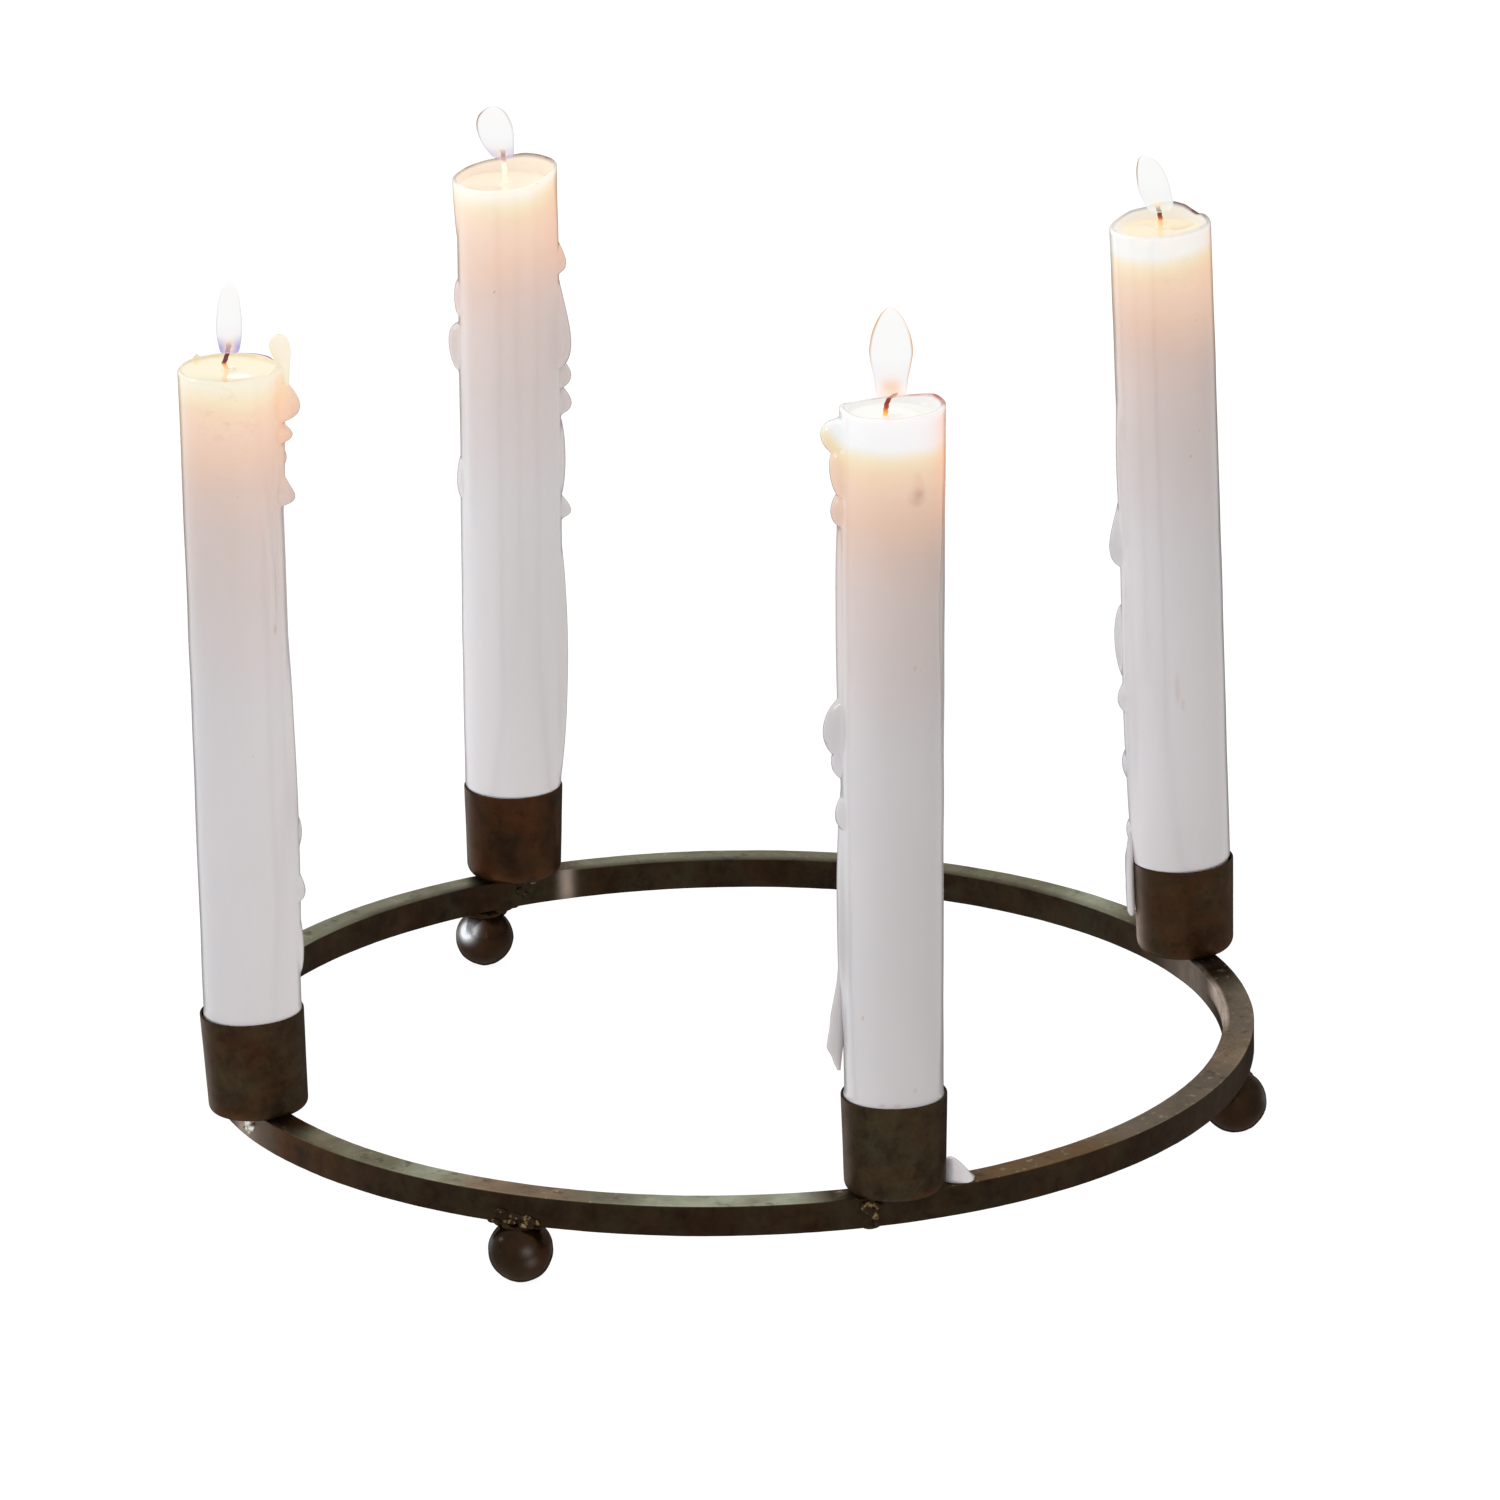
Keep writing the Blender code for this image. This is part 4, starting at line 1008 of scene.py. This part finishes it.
def make_candle(number, s):
    candle = CandleSkin(s, number)
    look = {
        "matrix": candle.matrix, "slot": "wax",
        "material": wax_material(f"wax_{number}", WAX[number], number * 10.0),
    }
    layers = {key: np.concatenate(values) for key, values in candle.layers.items()}
    body = skin(f"candle_{number}_body", candle.rings, layers=layers, **look)
    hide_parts(f"candle_{number}")
    if number in RIBBONS:
        word, angle, across, path = RIBBONS[number]
        ribbons = strip_rings([(r, z - candle.base, w, h) for r, z, w, h in path], angle, across)
        points = np.concatenate(ribbons)
        points = points + 0.12 * np.stack([grain(points, 3.0, k) for k in (1.0, 2.0, 3.0)], 1)
        columns = len(ribbons[0])
        ribbons = [points[i:i + columns] for i in range(0, len(points), columns)]
        layers = {key: np.zeros(len(points)) for key in WAX_LAYERS}
        layers["depth"] = np.maximum(candle.length - points[:, 2], 0.0)
        skin(f"candle_{number}_{word}", ribbons, layers=layers, **look)


def make_wick(number, s):
    matrix, _, length = candle_place(s)
    heights, sides = smooth_path(s["wick"], 46)
    turn = round_turn(20)
    rings, rise = [], []
    span = heights[-1] - heights[0]
    for h, side in zip(heights, sides):
        share = (h - heights[0]) / span
        centre = np.array(polar(side, SIDE)) + np.array((0, 0, length + h))
        size = 0.56 - 0.06 * share + 0.1 * math.exp(-((share - 0.9) / 0.07) ** 2)
        if share > 0.97:
            size *= 0.6
        twist = size * (1.0 + 0.14 * np.cos(3 * (turn + share * 9.0)))
        rings.append(centre + round_axis(twist, turn, 0.0))
        rise.append(np.full(len(turn), share))
    wick = skin(
        f"wick_{number}_cotton", rings, matrix=matrix, slot="wick", layers={"rise": rise},
        material=wick_material(f"char_{number}", WICKS[number], number * 4.0),
    )
    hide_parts(f"wick_{number}")


def make_flame(number, s):
    matrix, _, length = candle_place(s)
    height, middle, half = smooth_path(FLAMES[number], 60)
    turn = round_turn(48)
    across = np.cos(turn)
    out, along = np.array(polar(1.0, SIDE)), np.array(polar(1.0, SIDE + 90.0))
    middle_colour, sides, cover, line, on_left, on_right = FLAME_LOOKS[number]
    rings, rise, edge, core = [], [], [], []
    span = height[-1] - height[0]
    for h, m, w in zip(height, middle, half):
        w = max(w, 0.06)
        centre = out * m + np.array((0, 0, length + h))
        rings.append(centre + np.outer(across * w, out) + np.outer(np.sin(turn) * w * 0.8, along))
        share = (h - height[0]) / span
        rise.append(np.full(len(turn), share))
        left, right = (np.interp(share, *zip(*side)) for side in (on_left, on_right))
        rim = np.clip((np.abs(across) - 0.9) / 0.07, 0, 1)
        edge.append(rim * np.where(across < 0, left, right))
        core.append(smooth_step(1.15 - 1.3 * np.abs(across)))
    skin(
        f"flame_{number}", rings, matrix=matrix, slot="wick",
        layers={"rise": rise, "edge": edge, "core": core},
        material=flame_material(
            f"flame_glow_{number}", middle_colour, sides, cover, line, number * 6.0,
        ),
    )


def bar_profile():
    """The bar's section, with nearly sharp corners: (radius, height, how much it faces up)."""
    corner, profile = 0.32, []
    corners = (
        (OUTER - corner, BOTTOM + corner, -90), (OUTER - corner, TOP - corner, 0),
        (INNER + corner, TOP - corner, 90), (INNER + corner, BOTTOM + corner, 180),
    )
    for i, (r, z, start) in enumerate(corners):
        for step in range(4):
            a = math.radians(start + 30 * step)
            profile.append((r + corner * math.cos(a), z + corner * math.sin(a), math.sin(a)))
        # The flat side, from this corner's last point to the next corner's first
        r, z, up = profile[-1]
        next_r, next_z, _ = corners[(i + 1) % 4]
        across = next_r + corner * math.cos(a) - r
        rise = next_z + corner * math.sin(a) - z
        profile += [(r + across * share, z + rise * share, up) for share in SIDE_STEPS]
    return np.array(profile)


def make_ring():
    """The bar, bent round, with a hand-worked surface."""
    profile = bar_profile()
    columns, rows = 1080, len(profile)
    degrees = np.arange(columns) * 360 / columns
    turn = np.radians(degrees)
    r, z = by_row(profile[:, 0], columns), by_row(profile[:, 1], columns)
    spots = round_axis(r, turn, z).reshape(-1, 3)
    swell = (0.05 * grain(spots, 9.0, 1.0) + 0.03 * grain(spots, 3.0, 5.0)).reshape(rows, columns)
    swell = swell - 0.05
    middle_z = (TOP + BOTTOM) / 2
    away = np.hypot(r - MIDDLE, z - middle_z)
    outside, inside = r > OUTER - 1.0, r < INNER + 1.0
    high = smooth_step((z - TOP + 4.6) / 2.0)
    # Where the bar is bright: painted highlights on the inner face, strongest near its top, and
    # pale patches on its inner and outer sides
    bright = np.maximum.reduce([
        0.42 * hump(degrees, 149.5, 0.9) * inside,
        0.5 * (hump(degrees, 244.5, 2.6) + 0.3 * hump(degrees, 248.5, 3.5)) * outside,
        1.4 * (hump(degrees, 43.0, 8.0, 4) * high) * inside,
        0.3 * hump(degrees, 57.0, 7.0) * inside,
    ])
    # The upper face's patina and painted sheen are fainter at the back, toward the hole
    far = smooth_step((62.0 - np.abs(angle_apart(degrees, 132.0))) / 20.0)
    fainter = 0.75 * far * smooth_step((INNER + 3.6 - r) / 3.4)
    upward = by_row(smooth_step((profile[:, 2] - 0.4) / 0.5), columns) * (1 - fainter)
    rusty = 0.4 * hump(degrees, 256.0, 9.0) + 0.0 * r

    r = r - FLATTENED * hump(degrees, 226.0, 14.0, 4)
    r, z = r + (r - MIDDLE) / away * swell, z + (z - middle_z) / away * swell
    points = round_axis(r, turn, z).reshape(-1, 3)
    angles, kinds = zip(*UPPER_FACE)
    colours = np.array([linear(*PATINA_AND_SHEEN[kind]) for kind in kinds])
    tint = [round_table(zip(angles, channel), degrees) for channel in colours.T]
    ring = make_object(
        "ring_bar_forged", points, grid_faces(rows, columns, closed=True),
        iron_material("iron_ring", 2.0, ruddy=0.35, deep=0.35),
        {"upward": upward.ravel(), "bright": bright.ravel(), "rusty": rusty.ravel()},
        tint=np.broadcast_to(np.stack(tint, 1), (rows, columns, 4)),
    )
    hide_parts("ring_bar")


def cup_outline(corner, tall):
    """A cup's half section, (radius, height), and how many of its points are outside."""
    outline = [(3.0, 0.0), (6.0, 0.0), (CUP_BASE - corner, 0.0)]
    for step in range(1, 9):
        a = math.radians(-90 + 11.25 * step)
        outline.append((CUP_BASE - corner + corner * math.cos(a), corner + corner * math.sin(a)))
    for z in np.linspace(corner, tall - LIP_TALL, 34)[1:]:
        share = (z - corner) / (tall - corner)
        outline.append((CUP_BASE + (CUP_RIM - CUP_BASE) * share, z))
    outside = len(outline)
    for step in range(1, 8):
        a = math.radians(180 * step / 8)
        z = tall - LIP_TALL + LIP_TALL * math.sin(a)
        outline.append((CUP_RIM - LIP_WIDE + LIP_WIDE * math.cos(a), z))
    for z in (tall - 1.2, tall - 4.0, 12.0, corner):
        share = (z - corner) / (tall - corner)
        outline.append((CUP_BASE - CUP_WALL + (CUP_RIM - CUP_BASE) * share - 0.05, z))
    outline += [(CUP_BASE - corner, CUP_WALL), (0.2, CUP_WALL)]
    return np.array(outline), outside


def make_cup(number, s):
    """A spun cup with a rolled lip, slightly dented."""
    outline, outside = cup_outline(s["cup_corner"], s["cup_height"])
    outside = np.arange(len(outline))[:, None] < outside
    columns = 160
    degrees = np.arange(columns) * 360 / columns
    turn = np.radians(degrees)
    r, z = by_row(outline[:, 0], columns), by_row(outline[:, 1], columns)
    spots = round_axis(12, turn, z).reshape(-1, 3)
    dent = 0.04 * grain(spots, 8.0, number * 5.0).reshape(z.shape)
    oval = 0.03 * np.cos(2 * (turn - number))
    r = r + (dent + oval) * (z > 1.0) - 0.02
    z = z + (0.06 * np.sin(3 * turn + number)) * (z > s["cup_height"] - 3.0)
    points = round_axis(r, turn, z)
    streak = 0.5 + 0.5 * np.sin(turn * 3 + number * 2)
    sheen, patina, ruddy = CUP_LOOKS[number]
    # Painted sheen on the left edge, and a little on the right
    gleam = hump(degrees, LEFT, 20.0) + 0.3 * hump(degrees, RIGHT, 9.0)
    cup = skin(
        f"cup_{number}_shell", points, matrix=cup_matrix(s),
        material=iron_material(f"iron_cup_{number}", number * 7.0, patina, ruddy),
        layers={
            "upward": 0.0 * z, "bright": sheen * gleam * outside,
            "rusty": np.exp(-((z - 1.0) / 1.6) ** 2) * outside * streak * 0.3,
        },
    )
    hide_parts(f"cup_{number}")


def make_foot(number, degrees, iron, weld):
    """A forged ball with a small flat, and the weld that holds it to the bar."""
    turn = round_turn(72)
    size = BALL + BALL_GROWTH[number]
    flat = math.sqrt(BALL ** 2 - BALL_CENTRE ** 2)
    start, end = -math.acos(flat / BALL), math.radians(80.0)
    rings = []
    for a in np.linspace(start, end, 44):
        r, z = size * math.cos(a), BALL_CENTRE + size * math.sin(a)
        ring = round_axis(r, turn, z)
        bump = 0.14 * grain(ring, 4.2, number * 2.0) + 0.06 * grain(ring, 1.6, number * 3.0) - 0.06
        worked = ring + (ring - (0, 0, BALL_CENTRE)) / BALL * bump[:, None]
        worked[:, 2] = 0.0 if a == start else np.maximum(worked[:, 2], 0.0)
        rings.append(worked)
    toward = (np.concatenate(rings) - (0, 0, BALL_CENTRE)) / BALL
    dull = np.zeros(len(toward))
    bright = dull
    # Painted highlights on the ball, from the table of gleams
    for spot, height, share, spread in GLEAMS[number]:
        height = math.radians(height)
        aim = np.array(polar(math.cos(height), spot - degrees, math.sin(height)))
        gap = np.clip(toward @ aim / np.linalg.norm(toward, axis=1), -1, 1)
        gap = np.degrees(np.arccos(gap))
        bright = np.maximum(bright, share * np.exp(-(gap / spread) ** 2))
    ball = skin(
        f"ball_foot_{number}_forged", rings, matrix=standing_at(polar(MIDDLE, degrees), degrees),
        material=iron, layers={"upward": dull, "bright": bright, "rusty": dull},
    )
    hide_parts(f"ball_foot_{number}")
    centre, along = polar(MIDDLE, degrees), polar(1.0, degrees + 90.0)
    lumps = [
        (centre + along * step + Vector((0, 0, z)), lump_size, degrees)
        for step, z, lump_size in FOOT_WELD + FOOT_LUMPS[number]
    ]
    blobs(f"weld_foot_{number}", lumps, iron, rough=0.3, seed=number * 3.0)
    if number == 3:
        lumps = beads_on_rim(OUTER, degrees, 1.2, FOOT_SPATTER)
        blobs("weld_spatter_3", lumps, weld, voxel=0.15, rough=0.2, seed=8.0)


def beads_on_rim(radius, degrees, thick, beads):
    """Lumps on the bar's outer side, from (turn, height, width, height of the bead)."""
    return [
        (polar(radius, degrees + turn, z), (thick, wide, tall), degrees + turn)
        for turn, z, wide, tall in beads
    ]


def make_welds(dark, bright, gold):
    """Beads that hold the cups to the bar, and the butt weld where the bar's ends meet."""
    for number, (outer, inner, larger) in CUP_WELDS.items():
        lumps = []
        for spot, radius in ((outer, OUTER - 0.1), (inner, INNER + 0.1)):
            for turn, drop, size in CUP_BEADS:
                size = size * larger
                place = polar(radius, spot + turn, TOP - drop)
                lumps.append((place, (size * 0.55, size * 0.95, size * 0.9), spot))
        blobs(f"weld_cup_{number}", lumps, bright if number == 3 else dark, seed=number, rough=0.2)
    lumps = beads_on_rim(OUTER - 0.05, JOINT, 1.3, JOINT_BEADS)
    blobs("weld_joint", lumps, gold, voxel=0.14, rough=0.35, seed=9.0)
    seam = [
        (polar(MIDDLE, JOINT, BOTTOM + 0.1), (6.6, 4.0, 1.3), JOINT),
        (polar(OUTER - 1.0, JOINT + 0.2, BOTTOM + 0.2), (2.4, 4.4, 1.6), JOINT),
        (polar(MIDDLE, JOINT - 0.2, TOP - 0.1), (7.0, 1.6, 0.6), JOINT),
    ]
    blobs("weld_seam", seam, dark, seed=12.0)


def make_spill():
    """A drop of set wax on the bar: high beside the cup, and down to a point away from it."""
    turn = round_turn(72)
    wave = 1.0 + 0.04 * np.sin(3 * turn + 1.0) + 0.03 * np.sin(5 * turn)
    rings = []
    for a in np.linspace(0, math.pi / 2, 26):
        x = 3.5 * math.cos(a) * wave * np.cos(turn)
        y = 3.85 * math.cos(a) * wave * np.sin(turn)
        share = np.clip(y / 7.6 + 0.5, 0.0, 1.0)
        rings.append(np.stack([x, y, (8.0 - 7.6 * share) * math.sin(a) ** 0.8], 1))
    layers = {key: np.zeros((len(rings), len(turn))) for key in WAX_LAYERS}
    layers["depth"] += 100.0
    layers["pool"] += 0.15
    spill = skin(
        "wax_spill_drop", rings, slot="wax", layers=layers,
        matrix=standing_at(polar(MIDDLE, SPILL, TOP + GAP * 0.2), SPILL),
        material=wax_material("wax_spilt", WAX["spilt"], 77.0),
    )
    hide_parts("wax_spill")


def make_stage():
    """A floor that looks white, the light from all round, and three lamps."""
    floor = bpy.data.meshes.new("floor")
    far = 6.0
    corners = [(-far, -far, 0), (far, -far, 0), (far, far, 0), (-far, far, 0)]
    floor.from_pydata(corners, [], [(0, 1, 2, 3)])
    obj = linked("floor", floor)
    t = Tree(bpy.data.materials.new("floor_white"))
    t.put("Base Color", (0.12, 0.12, 0.12, 1.0))
    t.put("Specular IOR Level", 0.0)
    t.put("Roughness", 1.0)
    t.put("Emission Color", (1.0, 1.0, 1.0, 1.0))
    t.put("Emission Strength", 0.94)
    floor.materials.append(t.block)
    obj.visible_diffuse = False
    obj.visible_glossy = False
    make_world()
    bpy.context.scene.view_settings.view_transform = "Standard"
    soft_lamp("key", polar(1800.0, 219.0, 1040.0), (0.5, 0.5), 5.5, (0.92, 0.96, 1.0))
    soft_lamp("window", polar(2947.0, 135.33, 884.0), (0.035, 0.06), 0.034, (1.0, 1.0, 1.0))
    soft_lamp("front", polar(2400.0, 318.0, 900.0), (0.45, 0.6), 2.0, (0.94, 0.97, 1.0))


def make_world():
    """Soft light from all round: cooler and brighter on the left, dark low down at the back."""
    t = Tree(bpy.data.worlds.new("studio"), "Background", "Generated")

    def toward(direction):
        node = t.add("VectorMath", operation="DOT_PRODUCT")
        t.join(t.place, node.inputs[0])
        node.inputs[1].default_value = direction
        return node.outputs["Value"]

    def span(value, low, high, at_low, at_high):
        node = t.add("MapRange", interpolation_type="SMOOTHSTEP")
        for socket, number in zip(node.inputs[:5], (value, low, high, at_low, at_high)):
            t.feed(socket, number)
        return node.outputs[0]

    left = toward(polar(1.0, LEFT))
    strength = span(left, -1.0, 1.0, 1.2, 1.28)
    strength = t.times(strength, span(toward(polar(0.97, 88.0, -0.2)), 0.3, 0.95, 1.0, 0.75))
    strength = t.times(strength, span(toward(polar(0.905, BACK, -0.425)), 0.74, 0.9, 1.0, 0.04))
    t.put("Strength", strength)
    cool = span(left, -0.6, 0.9, 0.0, 1.0)
    t.put("Color", t.mix(cool, (1.0, 0.985, 0.97, 1.0), (0.97, 0.985, 1.0, 1.0)))
    bpy.context.scene.world = t.block


def soft_lamp(name, place, size, power, colour):
    lamp = bpy.data.lights.new(name, "AREA")
    lamp.shape = "RECTANGLE"
    lamp.size, lamp.size_y = size
    lamp.energy = power
    lamp.color = colour
    obj = linked(name, lamp)
    obj.location = place * MM
    aim = Vector((0.0, 0.0, 0.09)) - obj.location
    obj.rotation_euler = aim.to_track_quat("-Z", "Y").to_euler()


def make_camera():
    """The photograph's viewpoint: a long lens, looking down a little, rolled by under a degree."""
    lens = bpy.data.cameras.new("camera")
    lens.lens = 267.254
    lens.sensor_width = 36.0
    lens.clip_start = 0.05
    lens.clip_end = 50.0
    camera = linked("camera", lens)
    right = Vector((0.770850, 0.636832, -0.015372)).normalized()
    forward = Vector((-0.608193, 0.728578, -0.315081)).normalized()
    up = right.cross(forward)
    camera.matrix_world = Matrix((
        (right.x, up.x, -forward.x, 1.601047), (right.y, up.y, -forward.y, -1.908054),
        (right.z, up.z, -forward.z, 0.916320), (0, 0, 0, 1),
    ))
    bpy.context.scene.camera = camera


make_camera()
make_stage()
make_ring()
# The feet's bright colour is the bluish white of their painted highlights
ball_iron = iron_material("iron_feet", 40.0, patina=0.2, gloss=0.16, deep=0.3, wear_and_sheen=(236, 238, 242))
weld_dark = weld_material("weld_dark", 60.0, 0.03)
weld_bright = weld_material("weld_bright", 63.0, 0.26)
weld_gold = weld_material("weld_gold", 66.0, 0.06, (176, 158, 112))
for index, where in enumerate(FEET, 1):
    make_foot(index, where, ball_iron, weld_gold)
for index, station in STATIONS.items():
    make_cup(index, station)
    make_candle(index, station)
    make_wick(index, station)
    make_flame(index, station)
make_welds(weld_dark, weld_bright, weld_gold)
make_spill()
